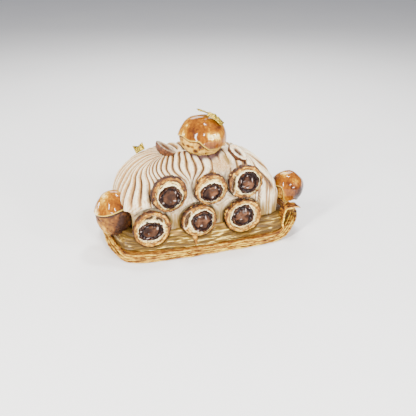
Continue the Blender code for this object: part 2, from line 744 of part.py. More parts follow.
def build_hazelnuts(parts, tools, cream):
    """Build the two half hazelnuts that stand in the cream."""
    for name, *places in HAZELNUTS:
        turn = hazelnut_turn(*places)
        nut = place(f"hazelnut_{name}", hazelnut_mesh(turn, 0.0), parts, "hazelnut")
        hollow = place(f"hollow_{name}", hollow_mesh(turn), tools)
        combine(nut, hollow, "DIFFERENCE")
        socket = place(f"socket_hazelnut_{name}", hazelnut_mesh(turn, GAP), tools)
        combine(cream, socket, "DIFFERENCE")


def build_gold(parts):
    """Build the pieces of gold leaf."""
    for name, *shape in LEAVES:
        place(name, leaf_mesh(leaf_points(*shape), 4, Vector((-0.30, 0.10, -0.95))), parts, "gold")
    place("gold_leaf_scrap", leaf_mesh(scrap_points(), 4, Vector((0.35, -0.30, -0.89))), parts, "gold")


def main():
    """Build the whole cake."""
    clear_scene()
    parts = make_collection("saint_honore_cake")
    tools = make_collection("cutters")
    creme = build_base(parts, tools)
    cream = place("whipped_cream", cream_mesh(), parts, "cream")
    build_cut_choux(parts, tools, cream, creme)
    build_glazed_choux(parts, tools, cream, creme)
    build_hazelnuts(parts, tools, cream)
    build_gold(parts)


main()
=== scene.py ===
"""Looks of an oblong Saint Honore cake with hazelnut cream, cut open along its front.

Lengths are in metres, +Z is up and the cut side faces -Y. Every visible piece is a mesh that stands for a
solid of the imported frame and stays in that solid's place.
"""

import logging
import math
from dataclasses import dataclass, field
from enum import Enum
from typing import Sequence

import bmesh
import bpy
import numpy as np
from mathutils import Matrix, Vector, noise


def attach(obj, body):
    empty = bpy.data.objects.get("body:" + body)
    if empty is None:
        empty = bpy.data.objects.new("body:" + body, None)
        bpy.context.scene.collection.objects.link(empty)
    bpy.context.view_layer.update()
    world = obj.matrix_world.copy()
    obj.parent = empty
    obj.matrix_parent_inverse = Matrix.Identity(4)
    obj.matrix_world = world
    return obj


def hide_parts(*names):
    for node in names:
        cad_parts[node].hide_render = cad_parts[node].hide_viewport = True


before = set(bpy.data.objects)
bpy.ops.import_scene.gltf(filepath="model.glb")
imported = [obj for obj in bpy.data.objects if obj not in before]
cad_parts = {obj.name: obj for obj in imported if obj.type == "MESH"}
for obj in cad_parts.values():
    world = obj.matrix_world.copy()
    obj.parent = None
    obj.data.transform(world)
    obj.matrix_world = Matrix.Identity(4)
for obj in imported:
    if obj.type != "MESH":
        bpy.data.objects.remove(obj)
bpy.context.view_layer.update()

Array = np.ndarray
Socket = bpy.types.NodeSocket
Piece = bpy.types.Object
Pair = tuple[float, float]
Triple = tuple[float, float, float]
Four = tuple[float, float, float, float]
Stops = Sequence[tuple[float, Triple]]
# A soft patch on a choux: its direction, width and amount, which is positive where the patch is darker
Tone = tuple[Triple, float, float]

LOG = logging.getLogger("saint_honore")
CUT_Y = -0.0550
UP = np.array((0.0, 0.0, 1.0))


class Slot(Enum):
    """Material slots."""

    PASTRY = "puff_pastry"
    CREME = "creme_patissiere"
    CREAM = "whipped_cream"
    CRUST = "choux_crust"
    PRALINE = "praline"
    CARAMEL = "caramel"
    HAZELNUT = "hazelnut"
    GOLD = "gold_leaf"


def ease(start: float, end: float, value: Array | float) -> Array:
    """Return an even blend from 0 at the start to 1 at the end.

    Args:
        start: Value at which the blend is 0.
        end: Value at which the blend is 1; it may lie below the start.
        value: Values to blend.

    Returns:
        The blend at each value.
    """
    share = np.clip((value - start) / (end - start), 0.0, 1.0)
    return share * share * (3.0 - 2.0 * share)


def bump_at(value: Array, middle: float, width: float) -> Array:
    """Return a bell curve of height 1 round a middle."""
    return np.exp(-(((value - middle) / width) ** 2))


def grain(spots: Array, size: float | Triple, seed: float = 0.0, detail: int = 1) -> Array:
    """Return smooth noise at points.

    Args:
        spots: Points, with their coordinates in the last axis.
        size: Size of the lumps in metres, or one for each axis.
        seed: Offset that picks another pattern.
        detail: Number of octaves.

    Returns:
        Values between about -1 and 1.
    """
    flat = (spots.reshape(-1, 3) / np.array(size) + seed * 7.31).tolist()
    if detail == 1:
        values = [noise.noise(spot) for spot in flat]
    else:
        values = [noise.fractal(spot, 0.9, 2.1, detail) for spot in flat]
    return np.array(values).reshape(spots.shape[:-1])


def creases(spots: Array, size: float | Triple, seed: float = 0.0) -> Array:
    """Return noise with sharp valleys: 0 along the creases and up to about 1 on the lumps between them."""
    return np.abs(grain(spots, size, seed)) * 2.0


def unit(vectors: Array) -> Array:
    """Return vectors scaled to length 1."""
    return vectors / np.maximum(np.linalg.norm(vectors, axis=-1, keepdims=True), 1e-12)


def points(x: Array | float, y: Array | float, z: Array | float) -> Array:
    """Return points from their coordinates."""
    return np.stack(np.broadcast_arrays(x, y, z), axis=-1)


def circle(angle: Array, third: Array | float = 0.0) -> Array:
    """Return points of a circle of radius 1, with a third coordinate."""
    return points(np.cos(angle), np.sin(angle), third)


def turns(count: int) -> Array:
    """Return evenly spaced angles of a full turn."""
    return math.tau * np.arange(count) / count


def outline_reach(angle: Array, halves: Four, powers: Four) -> Array:
    """Return the reach of a rounded oblong.

    Args:
        angle: Angles in plan.
        halves: Reach to the right, back, left and front.
        powers: Squareness of the back right, back left, front left and front right quarters.

    Returns:
        The distance from the middle to the outline at each angle.
    """
    across, along = np.cos(angle), np.sin(angle)
    width = np.where(across > 0.0, halves[0], halves[2])
    depth = np.where(along > 0.0, halves[1], halves[3])
    back = np.where(across > 0.0, powers[0], powers[1])
    front = np.where(across < 0.0, powers[2], powers[3])
    power = np.where(along > 0.0, back, front)
    return (np.abs(across / width) ** power + np.abs(along / depth) ** power) ** (-1.0 / power)


def spaced_angles(count: int, halves: Four, powers: Four) -> tuple[Array, float]:
    """Return angles whose points are evenly spaced along a rounded oblong, from the back middle on.

    Args:
        count: Number of angles.
        halves: Reach to the right, back, left and front.
        powers: Squareness of each quarter.

    Returns:
        The angles, and the length of the outline.
    """
    fine = 4320
    angles = math.pi / 2 + math.tau * np.arange(fine + 1) / fine
    reach = outline_reach(angles, halves, powers)
    steps = np.hypot(np.diff(reach * np.cos(angles)), np.diff(reach * np.sin(angles)))
    lengths = np.concatenate(([0.0], np.cumsum(steps)))
    wanted = lengths[-1] * np.arange(count) / count
    return np.interp(wanted, lengths, angles), float(lengths[-1])


@dataclass
class Sheet:
    """A round grid of points, in rows and columns, closed at both ends, with named values painted on it."""

    spots: Array
    marks: dict[str, Array] = field(default_factory=dict)

    def closed(self, grid: Array) -> Array:
        """Return a grid as one list, with the means of its first and last rows for the hubs of the ends."""
        flat = grid.reshape(-1, *grid.shape[2:])
        return np.concatenate((flat, grid[:1].mean(axis=1), grid[-1:].mean(axis=1)))

    def values(self, name: str) -> Array:
        """Return the painted values of all points, 0 where the sheet has none."""
        return self.closed(self.marks.get(name, np.zeros(self.spots.shape[:2])))

    def faces(self, start: int) -> list[tuple[int, ...]]:
        """Return the faces as point numbers.

        Args:
            start: Number of the sheet's first point.

        Returns:
            Quads of the grid and triangles of its two ends.
        """
        rows, columns = self.spots.shape[:2]
        index = start + np.arange(rows * columns).reshape(rows, columns)
        after = np.roll(index, -1, axis=1)
        quads = np.stack((index[:-1], after[:-1], after[1:], index[1:]), axis=-1)
        faces: list[tuple[int, ...]] = [tuple(quad) for quad in quads.reshape(-1, 4).tolist()]
        hub = start + rows * columns
        faces += [(hub, there, here) for here, there in zip(index[0].tolist(), after[0].tolist())]
        faces += [(hub + 1, here, there) for here, there in zip(index[-1].tolist(), after[-1].tolist())]
        return faces


def add_piece(name: str, sheets: Sequence[Sheet], finish: "Finish", node: str) -> Piece:
    """Join sheets into one smooth piece and tell the frame about it.

    Args:
        name: Name of the piece.
        sheets: Sheets to join.
        finish: Finish of the piece.
        node: The solid that it stands for.

    Returns:
        The new piece.
    """
    faces: list[tuple[int, ...]] = []
    count = 0
    for sheet in sheets:
        faces += sheet.faces(count)
        count += len(sheet.closed(sheet.spots))
    mesh = bpy.data.meshes.new(name)
    mesh.from_pydata(np.concatenate([sheet.closed(sheet.spots) for sheet in sheets]).tolist(), [], faces)
    for mark in sorted({mark for sheet in sheets for mark in sheet.marks}):
        values = np.concatenate([sheet.values(mark) for sheet in sheets])
        mesh.attributes.new(mark, "FLOAT", "POINT").data.foreach_set("value", values.astype(np.float32))
    shape = bmesh.new()
    shape.from_mesh(mesh)
    bmesh.ops.recalc_face_normals(shape, faces=shape.faces)
    for face in shape.faces:
        face.smooth = True
    shape.to_mesh(mesh)
    shape.free()
    mesh.materials.append(finish.material())
    piece = bpy.data.objects.new(name, mesh)
    bpy.context.scene.collection.objects.link(piece)
    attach(piece, "root")
    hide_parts(node)
    return piece


class Paint:
    """A material being mixed from shader nodes."""

    def __init__(self, name: str) -> None:
        """Start a material with its shader and object coordinates."""
        self.material = bpy.data.materials.new(name)
        self.material.use_nodes = True
        self.tree = self.material.node_tree
        self.shader = self.tree.nodes["Principled BSDF"]
        self.place = self.tree.nodes.new("ShaderNodeTexCoord").outputs["Object"]
        self.normal: Socket | None = None

    def link(self, source: Socket, target: Socket) -> None:
        """Join two sockets."""
        self.tree.links.new(source, target)

    def noise(self, scale: float, detail: float, stretch: Triple | None = None) -> Socket:
        """Return soft noise.

        Args:
            scale: Lumps a metre.
            detail: Octaves.
            stretch: Factors on the coordinates along each axis.

        Returns:
            The socket with values round 0.5.
        """
        node = self.tree.nodes.new("ShaderNodeTexNoise")
        node.inputs["Scale"].default_value = scale
        node.inputs["Detail"].default_value = detail
        node.inputs["Roughness"].default_value = 0.58
        place = self.place
        if stretch:
            mapping = self.tree.nodes.new("ShaderNodeMapping")
            mapping.inputs["Scale"].default_value = stretch
            self.link(place, mapping.inputs["Vector"])
            place = mapping.outputs["Vector"]
        self.link(place, node.inputs["Vector"])
        return node.outputs["Fac"]

    def mark(self, name: str) -> Socket:
        """Return values painted on the mesh."""
        node = self.tree.nodes.new("ShaderNodeAttribute")
        node.attribute_name = name
        return node.outputs["Fac"]

    def ramp(self, source: Socket, stops: Stops) -> Socket:
        """Return colours looked up from values.

        Args:
            source: Values to look up.
            stops: Places between 0 and 1 with their colours.

        Returns:
            The colour socket.
        """
        node = self.tree.nodes.new("ShaderNodeValToRGB")
        elements = node.color_ramp.elements
        while len(elements) < len(stops):
            elements.new(0.5)
        for element, (place, colour) in zip(elements, stops):
            element.position = place
            element.color = (*colour, 1.0)
        self.link(source, node.inputs["Fac"])
        return node.outputs["Color"]

    def span(self, source: Socket, start: float, end: float, low: float = 0.3, high: float = 0.7) -> Socket:
        """Return values stretched from one range to another and held inside it.

        Args:
            source: Values to stretch.
            start: Result at the low value.
            end: Result at the high value.
            low: Value that gives the start.
            high: Value that gives the end.

        Returns:
            The stretched values.
        """
        node = self.tree.nodes.new("ShaderNodeMapRange")
        node.interpolation_type = "SMOOTHSTEP"
        for name, value in (("From Min", low), ("From Max", high), ("To Min", start), ("To Max", end)):
            node.inputs[name].default_value = value
        self.link(source, node.inputs["Value"])
        return node.outputs["Result"]

    def sum(self, first: Socket, second: Socket) -> Socket:
        """Return two values added.

        Args:
            first: One value.
            second: The other value.

        Returns:
            Their sum.
        """
        node = self.tree.nodes.new("ShaderNodeMath")
        self.link(first, node.inputs[0])
        self.link(second, node.inputs[1])
        return node.outputs["Value"]

    def lay(self, under: Socket, over: Socket | Triple, amount: Socket) -> Socket:
        """Return one colour laid over another.

        Args:
            under: Colour below.
            over: Colour on top.
            amount: How much of it shows.

        Returns:
            The mixed colour.
        """
        node = self.tree.nodes.new("ShaderNodeMix")
        node.data_type = "RGBA"
        self.link(under, node.inputs["A"])
        if isinstance(over, tuple):
            node.inputs["B"].default_value = (*over, 1.0)
        else:
            self.link(over, node.inputs["B"])
        self.link(amount, node.inputs["Factor"])
        return node.outputs["Result"]

    def relief(self, height: Socket, depth: float) -> None:
        """Add fine relief.

        Args:
            height: Heights between 0 and 1.
            depth: Depth of the relief in metres.
        """
        node = self.tree.nodes.new("ShaderNodeBump")
        node.inputs["Distance"].default_value = depth
        self.link(height, node.inputs["Height"])
        if self.normal:
            self.link(self.normal, node.inputs["Normal"])
        self.normal = node.outputs["Normal"]

    def finish(self, colour: Socket, roughness: Socket, **constants: float) -> bpy.types.Material:
        """Join everything to the shader.

        Args:
            colour: Base colour.
            roughness: Roughness.
            constants: Values set on the shader's own sockets, with underscores for spaces.

        Returns:
            The material.
        """
        self.link(colour, self.shader.inputs["Base Color"])
        self.link(roughness, self.shader.inputs["Roughness"])
        if self.normal:
            self.link(self.normal, self.shader.inputs["Normal"])
        for name, value in constants.items():
            self.shader.inputs[name.replace("_", " ")].default_value = value
        return self.material


@dataclass(frozen=True)
class Finish:
    """A named finish with one of the material slots; each kind mixes its own material."""

    name: str
    slot: Slot | None = None

    def material(self) -> bpy.types.Material:
        """Return the finish's material, mixing it the first time."""
        return bpy.data.materials.get(self.name) or self.mix(Paint(self.name))

    def mix(self, paint: Paint) -> bpy.types.Material:
        """Mix the material."""
        raise NotImplementedError


@dataclass(frozen=True)
class CreamFinish(Finish):
    """Piped whipped cream: ivory crests, painted shade on the ridges' flanks and in their valleys, painted
    shade round the choux, and a custard stain near the foot.
    """

    # The crest colour is the cream's own ivory. The three darker ramp colours after it are painted shade for
    # the ridges' flanks and valleys, and the nook colour is painted shade round the choux.
    crest: Triple = (0.955, 0.850, 0.620)
    shaded_flank: Triple = (0.450, 0.252, 0.084)
    hollow: Triple = (0.215, 0.108, 0.040)
    valley: Triple = (0.080, 0.040, 0.034)
    nook: Triple = (0.085, 0.044, 0.038)
    stain: Triple = (0.250, 0.150, 0.036)

    def mix(self, paint: Paint) -> bpy.types.Material:
        """Mix the material.

        Args:
            paint: The material being mixed.

        Returns:
            The mixed material.
        """
        streak = paint.noise(900.0, 3.0, (1.0, 1.0, 0.16))
        mottle = paint.noise(160.0, 4.0)
        # The valley mark paints shade down the ridges' flanks and into their valleys. The nook mark paints
        # shade round the choux and a contact shadow under the top choux.
        depth = paint.sum(paint.mark("valley"), paint.span(streak, -0.10, 0.10))
        stops = ((0.0, self.crest), (0.40, self.shaded_flank), (0.72, self.hollow), (1.0, self.valley))
        colour = paint.ramp(depth, stops)
        colour = paint.lay(colour, self.shaded_flank, paint.span(mottle, 0.0, 0.34, 0.42, 0.75))
        colour = paint.lay(colour, self.nook, paint.mark("nook"))
        colour = paint.lay(colour, self.stain, paint.mark("stain"))
        paint.relief(streak, 0.00025)
        paint.relief(paint.noise(2200.0, 2.0), 0.00006)
        soft = {"Subsurface_Weight": 0.06, "Subsurface_Scale": 0.002}
        return paint.finish(colour, paint.span(mottle, 0.40, 0.55), Specular_IOR_Level=0.22, **soft)


@dataclass(frozen=True)
class CremeFinish(Finish):
    """Creme patissiere: ochre folds with painted highlights on their crests and painted shade in their
    hollows and round the choux.
    """

    light: Triple = (0.800, 0.600, 0.170)
    pale: Triple = (0.260, 0.150, 0.018)
    middle: Triple = (0.138, 0.072, 0.012)
    dark: Triple = (0.082, 0.044, 0.010)
    milk: Triple = (0.788, 0.444, 0.110)

    def mix(self, paint: Paint) -> bpy.types.Material:
        """Mix the material.

        Args:
            paint: The material being mixed.

        Returns:
            The mixed material.
        """
        streak = paint.noise(420.0, 4.0, (0.17, 0.5, 1.8))
        # The fold mark follows the folds' relief, paler where they stand out and darker in the creases, as
        # painted light and shade. It also carries painted shade round the choux.
        height = paint.sum(paint.mark("fold"), paint.span(streak, -0.44, 0.36, 0.33, 0.67))
        stops = ((0.16, self.dark), (0.52, self.middle), (0.82, self.pale), (1.0, self.light))
        colour = paint.ramp(height, stops)
        colour = paint.lay(colour, self.milk, paint.mark("milk"))
        paint.relief(streak, 0.0004)
        return paint.finish(colour, paint.span(streak, 0.28, 0.46), Specular_IOR_Level=0.18)


@dataclass(frozen=True)
class PastryFinish(Finish):
    """Flaky puff pastry: golden layers with pale crumbs, dark baked edges and painted shade in the gaps
    between the layers.
    """

    light: Triple = (0.815, 0.579, 0.060)
    pale: Triple = (0.560, 0.310, 0.045)
    golden: Triple = (0.310, 0.120, 0.009)
    brown: Triple = (0.120, 0.036, 0.008)
    dark: Triple = (0.027, 0.009, 0.004)

    def mix(self, paint: Paint) -> bpy.types.Material:
        """Mix the material.

        Args:
            paint: The material being mixed.

        Returns:
            The mixed material.
        """
        fleck = paint.noise(260.0, 5.0, (0.5, 0.8, 2.4))
        crumb = paint.noise(1100.0, 3.0)
        # The leaf mark is dark where each layer turns back into the gap beside the next, as painted shade,
        # with a random tint and fine leaves.
        height = paint.sum(paint.mark("leaf"), paint.span(fleck, -0.40, 0.38))
        baked = ((0.0, self.dark), (0.22, self.brown), (0.52, self.golden))
        colour = paint.ramp(height, (*baked, (0.80, self.pale), (1.0, self.light)))
        colour = paint.lay(colour, self.brown, paint.mark("bake"))
        paint.relief(fleck, 0.0005)
        paint.relief(crumb, 0.0002)
        return paint.finish(colour, paint.span(crumb, 0.42, 0.68), Specular_IOR_Level=0.20)


@dataclass(frozen=True)
class CrustFinish(Finish):
    """Baked choux: golden-brown blistered crust and a pale, moist crumb, with painted shade in the air
    pockets and a painted highlight on their rims and round the praline.
    """

    pale: Triple = (0.680, 0.410, 0.075)
    golden: Triple = (0.320, 0.136, 0.009)
    brown: Triple = (0.125, 0.042, 0.009)
    burnt: Triple = (0.030, 0.011, 0.006)
    crumb: Triple = (0.920, 0.730, 0.270)
    crumb_shade: Triple = (0.480, 0.260, 0.045)
    # The lip colour is a painted highlight on the rims of the pockets and round the praline, and the pocket
    # colour is painted shade in the air pockets.
    lip: Triple = (0.920, 0.800, 0.480)
    pocket: Triple = (0.085, 0.042, 0.020)

    def mix(self, paint: Paint) -> bpy.types.Material:
        """Mix the material.

        Args:
            paint: The material being mixed.

        Returns:
            The mixed material.
        """
        blotch = paint.noise(190.0, 5.0)
        pore = paint.noise(800.0, 3.0)
        bake = paint.sum(paint.mark("bake"), paint.span(blotch, -0.16, 0.20, 0.32, 0.68))
        stops = ((0.0, self.pale), (0.32, self.golden), (0.62, self.brown), (1.0, self.burnt))
        colour = paint.ramp(bake, stops)
        soft = paint.ramp(paint.noise(420.0, 3.0), ((0.38, self.crumb_shade), (0.54, self.crumb)))
        colour = paint.lay(colour, soft, paint.mark("crumb"))
        # Painted shade in the pockets, then a painted highlight on the lips.
        colour = paint.lay(paint.lay(colour, self.pocket, paint.mark("pocket")), self.lip, paint.mark("lip"))
        paint.relief(blotch, 0.0006)
        paint.relief(pore, 0.0003)
        return paint.finish(colour, paint.span(pore, 0.44, 0.68), Specular_IOR_Level=0.22)


@dataclass(frozen=True)
class PralineFinish(Finish):
    """Glossy dark praline with a lighter, duller middle, painted shade in its moat and creases, and painted
    glints.
    """

    dark: Triple = (0.011, 0.0045, 0.004)
    middle: Triple = (0.048, 0.019, 0.009)
    light: Triple = (0.150, 0.060, 0.028)
    # The palest colour is a painted highlight at the glint spots.
    gleam: Triple = (0.620, 0.470, 0.420)

    def mix(self, paint: Paint) -> bpy.types.Material:
        """Mix the material.

        Args:
            paint: The material being mixed.

        Returns:
            The mixed material.
        """
        swirl = paint.noise(240.0, 4.0)
        # The matt mark is lighter on the heart's ripples and the lobes and dark in the moat and creases, as
        # painted light and shade. It also sets the roughness.
        tone = paint.sum(paint.mark("matt"), paint.span(swirl, -0.18, 0.18))
        colour = paint.ramp(tone, ((0.0, self.dark), (0.45, self.middle), (1.0, self.light)))
        # Painted glints at the glint spots.
        colour = paint.lay(colour, self.gleam, paint.span(paint.mark("gleam"), 0.0, 0.85, 0.15, 1.0))
        paint.relief(swirl, 0.0003)
        rough = paint.span(paint.mark("matt"), 0.10, 0.20, 0.0, 1.0)
        return paint.finish(colour, rough, Specular_IOR_Level=0.13)


@dataclass(frozen=True)
class CaramelFinish(Finish):
    """Hard caramel over baked crust: amber with a random depth of tone, patches of painted highlight and
    painted shade, a painted highlight along its bead, and glossy.
    """

    # The palest colour shows where patches of painted highlight lighten the caramel.
    highlight_tint: Triple = (0.900, 0.740, 0.340)
    pale: Triple = (0.620, 0.350, 0.035)
    honey: Triple = (0.370, 0.160, 0.006)
    amber: Triple = (0.225, 0.068, 0.004)
    brown: Triple = (0.090, 0.025, 0.007)
    dark: Triple = (0.036, 0.012, 0.006)
    gold: Triple = (0.760, 0.540, 0.080)

    def mix(self, paint: Paint) -> bpy.types.Material:
        """Mix the material.

        Args:
            paint: The material being mixed.

        Returns:
            The mixed material.
        """
        cloud = paint.noise(70.0, 4.0)
        thread = paint.noise(420.0, 3.0, (1.0, 1.0, 0.3))
        # The deep mark is a random tone plus patches of painted highlight and painted shade.
        depth = paint.sum(paint.mark("deep"), paint.span(cloud, -0.14, 0.14))
        depth = paint.sum(depth, paint.span(thread, -0.14, 0.14))
        thin = ((0.0, self.highlight_tint), (0.12, self.pale), (0.26, self.honey))
        colour = paint.ramp(depth, (*thin, (0.48, self.amber), (0.80, self.brown), (1.0, self.dark)))
        # Painted highlight along the caramel's bead.
        colour = paint.lay(colour, self.gold, paint.mark("rim"))
        return paint.finish(colour, paint.span(thread, 0.05, 0.12), Specular_IOR_Level=0.30)


@dataclass(frozen=True)
class HazelnutFinish(Finish):
    """Half a hazelnut: fibrous brown skin and a pale cut face with a darker hollow."""

    dark_skin: Triple = (0.020, 0.007, 0.004)
    skin: Triple = (0.077, 0.027, 0.012)
    pale_skin: Triple = (0.242, 0.081, 0.022)
    flesh: Triple = (0.900, 0.840, 0.640)
    flesh_shade: Triple = (0.824, 0.499, 0.200)
    hollow: Triple = (0.090, 0.034, 0.011)
    core: Triple = (0.020, 0.008, 0.004)

    def mix(self, paint: Paint) -> bpy.types.Material:
        """Mix the material.

        Args:
            paint: The material being mixed.

        Returns:
            The mixed material.
        """
        fibre = paint.noise(620.0, 4.0, (1.0, 1.0, 0.5))
        skin = paint.ramp(fibre, ((0.30, self.dark_skin), (0.50, self.skin), (0.72, self.pale_skin)))
        flesh = paint.ramp(paint.noise(300.0, 3.0), ((0.35, self.flesh_shade), (0.60, self.flesh)))
        colour = paint.lay(skin, flesh, paint.mark("flesh"))
        colour = paint.lay(colour, self.hollow, paint.mark("hollow"))
        colour = paint.lay(colour, self.core, paint.mark("core"))
        paint.relief(fibre, 0.0003)
        return paint.finish(colour, paint.span(fibre, 0.38, 0.58), Specular_IOR_Level=0.22)


@dataclass(frozen=True)
class GoldFinish(Finish):
    """Crumpled gold leaf, with painted shade in its creases and a painted highlight on its raised crumples.
    """

    shaded: Triple = (0.247, 0.125, 0.008)
    gold: Triple = (0.503, 0.357, 0.030)
    bright: Triple = (0.850, 0.717, 0.120)

    def mix(self, paint: Paint) -> bpy.types.Material:
        """Mix the material.

        Args:
            paint: The material being mixed.

        Returns:
            The mixed material.
        """
        crease = paint.noise(900.0, 4.0)
        # The colour follows the bump noise: painted shade in the creases and a painted highlight on the
        # raised crumples.
        colour = paint.ramp(crease, ((0.3, self.shaded), (0.55, self.gold), (0.75, self.bright)))
        paint.relief(crease, 0.0004)
        return paint.finish(colour, paint.span(crease, 0.22, 0.42), Metallic=0.75)


@dataclass(frozen=True)
class FloorFinish(Finish):
    """Plain pale floor."""

    shade: Triple = (0.90, 0.90, 0.91)
    light: Triple = (0.92, 0.92, 0.92)

    def mix(self, paint: Paint) -> bpy.types.Material:
        """Mix the material.

        Args:
            paint: The material being mixed.

        Returns:
            The mixed material.
        """
        cloud = paint.noise(6.0, 2.0)
        colour = paint.ramp(cloud, ((0.3, self.shade), (0.7, self.light)))
        return paint.finish(colour, paint.span(cloud, 0.80, 0.85))


CREAM = CreamFinish("piped_hazelnut_cream", Slot.CREAM)
CREME = CremeFinish("custard_creme", Slot.CREME)
PASTRY = PastryFinish("flaky_puff_pastry", Slot.PASTRY)
CRUST = CrustFinish("baked_choux_crust", Slot.CRUST)
PRALINE = PralineFinish("glossy_praline", Slot.PRALINE)
CARAMEL = CaramelFinish("hard_caramel", Slot.CARAMEL)
HAZELNUT = HazelnutFinish("half_hazelnut", Slot.HAZELNUT)
GOLD = GoldFinish("crumpled_gold_leaf", Slot.GOLD)
FLOOR = FloorFinish("pale_floor")


@dataclass(frozen=True)
class CutChou:
    """One choux cut in half: its crust and crumb, its air pockets, its praline and perhaps a nib of crust.

    The core holds the praline's middle, half width and half height. A glint spot is a place on the praline,
    with its half sizes, where a highlight is painted. A pocket is a middle with its half sizes and its lean.
    A nib is its top and its tip.
    """

    number: int
    x: float
    z: float
    width: float
    height: float
    depth: float
    core: Four
    glint_spots: tuple[Four, ...]
    pockets: tuple[tuple[float, float, float, float, float], ...] = ()
    bake: float = 0.0
    nib: Four | None = None
    columns: int = 240
    shell_rings: int = 22
    face_rings: int = 30
    praline_rings: int = 40
    shell_turn: float = 1.35
    crust_width: float = 0.0054
    pocket_growth: Pair = (1.25, 1.45)
    pocket_depth: float = 0.0030
    sides: Triple = (0.0012, 0.0030, 0.0060)
    praline_sides: Triple = (0.0090, 0.0060, 0.0030)
    bumps: tuple[Triple, ...] = ((0.045, 0.55, 1.0), (0.058, 0.20, 2.0), (0.034, 0.09, 3.0))
    core_bumps: tuple[Triple, ...] = ((0.11, 0.7, 4.0), (0.085, 0.22, 5.0), (0.03, 0.08, 6.0))

    def nearness(self, x: Array, z: Array, margin: float = 0.0) -> Array:
        """Return how far points on the cut lie from the middle, as a share of the choux's size."""
        return np.hypot((x - self.x) / (self.width + margin), (z - self.z) / (self.height + margin))

    def ragged(self, outline: Four, step: float, bumps: Sequence[Triple]) -> Array:
        """Return a ragged outline on the cut.

        Args:
            outline: Its middle, half width and half height.
            step: Offset between the patterns of two choux.
            bumps: Height, size and seed of each kind of bump.

        Returns:
            Points as X and Z.
        """
        x, z, width, height = outline
        angle = turns(self.columns)
        ring = circle(angle, self.number * step)
        reach = 1.0 + sum(rise * grain(ring, size, seed) for rise, size, seed in bumps)
        return np.stack((x + width * reach * np.cos(angle), z + height * reach * np.sin(angle)), axis=-1)

    def praline_edge(self) -> Array:
        """Return the praline's outline on the cut."""
        return self.ragged(self.core, 2.9, self.core_bumps)

    def shell_rows(self, edge: Array) -> list[Array]:
        """Return rings of the rough crust, from the back to the cut.

        Args:
            edge: Outline on the cut.

        Returns:
            One array of points for each ring.
        """
        rows = []
        for turn in np.linspace(self.shell_turn, 0.0, self.shell_rings):
            x = self.x + (edge[:, 0] - self.x) * math.cos(turn)
            z = self.z + (edge[:, 1] - self.z) * math.cos(turn)
            ring = points(x, CUT_Y + self.depth * math.sin(turn), z)
            way = unit(ring - np.array((self.x, CUT_Y, self.z)))
            rough = 0.0006 * grain(ring, 0.0030, 31.0, 3) * ease(0.0, 0.2, turn + 0.05)
            rows.append(ring + way * rough[:, None])
        return rows

    def crumb_rows(self, edge: Array) -> tuple[list[Array], list[Array]]:
        """Return rings of the cut face, from the crust to the praline and down beside it.

        Args:
            edge: Outline on the cut.

        Returns:
            One array of points for each ring, and how much of each is crumb.
        """
        core = self.praline_edge()
        band = np.clip(self.crust_width / np.linalg.norm(edge - core, axis=-1), 0.46, 0.70)
        rows, crumb = [], []
        for step in np.linspace(0.04, 1.0, self.face_rings):
            flat = edge + (core - edge) * step
            ring = points(flat[:, 0], CUT_Y, flat[:, 1])
            inner = ease(-0.07, 0.09, step - band + 0.10 * grain(ring, 0.0032, 32.0))
            lumps = 0.0009 * grain(ring, 0.0026, 33.0, 2)
            swell = -0.0009 * (1.0 - inner) * ease(0.0, 0.10, step)
            lip = -0.0010 * ease(0.78, 0.94, step)
            ring[:, 1] += 0.0002 + 0.0010 * inner + lumps * ease(0.0, 0.12, step) + swell + lip
            rows.append(ring)
            crumb.append(inner)
        for back in self.sides:
            rows.append(points(rows[-1][:, 0], CUT_Y + back, rows[-1][:, 2]))
            crumb.append(np.full(self.columns, 0.8))
        return rows, crumb

    def press_pockets(self, spots: Array) -> Array:
        """Press the air pockets into the crumb.

        Args:
            spots: Points of the crust and crumb, which are moved.

        Returns:
            How deep in a pocket each point lies.
        """
        deep = np.zeros(spots.shape[:2])
        face = ease(CUT_Y + 0.0040, CUT_Y + 0.0025, spots[..., 1])
        wobble = 0.16 * grain(spots, 0.003, 35.0)
        for x, z, width, height, lean in self.pockets:
            across, rise = spots[..., 0] - x, spots[..., 2] - z
            first = (across * math.cos(lean) + rise * math.sin(lean)) / (self.pocket_growth[0] * width)
            second = (rise * math.cos(lean) - across * math.sin(lean)) / (self.pocket_growth[1] * height)
            deep = np.maximum(deep, ease(1.12, 0.62, np.hypot(first, second) + wobble) * face)
        spots[..., 1] += self.pocket_depth * deep
        return deep

    def crust_marks(self, spots: Array, crumb: Array, pocket: Array) -> dict[str, Array]:
        """Paint the baked crust, the crumb, painted shade in the pockets and along the step from crust to
        crumb, and a painted highlight on the pockets' rims and the lip round the praline.

        Args:
            spots: Points of the crust and crumb.
            crumb: How much of each point is crumb.
            pocket: How deep in a pocket each point lies.

        Returns:
            The painted values.
        """
        x, y, z = np.moveaxis(spots, -1, 0)
        near = self.nearness(x, z)
        around = circle(np.arctan2(z - self.z, x - self.x), 13.0 * near) * np.array((1.5, 1.5, 1.0))
        strokes = grain(around, 1.0, self.number, 2)
        fissures = ease(0.22, 0.04, creases(spots, (0.0042, 0.02, 0.0034), 36.0))
        # Painted shade along the step where the crust stands in front of the crumb.
        rim = ease(0.02, 0.10, crumb) * ease(0.65, 0.25, crumb)
        bake = 0.36 + self.bake + 0.16 * grain(spots, 0.006, 34.0) + 0.30 * fissures + 0.80 * rim
        bake = bake + 0.80 * bump_at(near, 1.0, 0.036) + 0.42 * strokes
        bake = bake - 0.36 * ease(0.10, 0.50, grain(spots, 0.0032, 37.0))
        bake = bake + 0.40 * ease(0.42, 0.60, grain(spots, 0.0024, 38.0))
        bake = bake + 0.25 * ease(CUT_Y + 0.002, CUT_Y + 0.006, y)
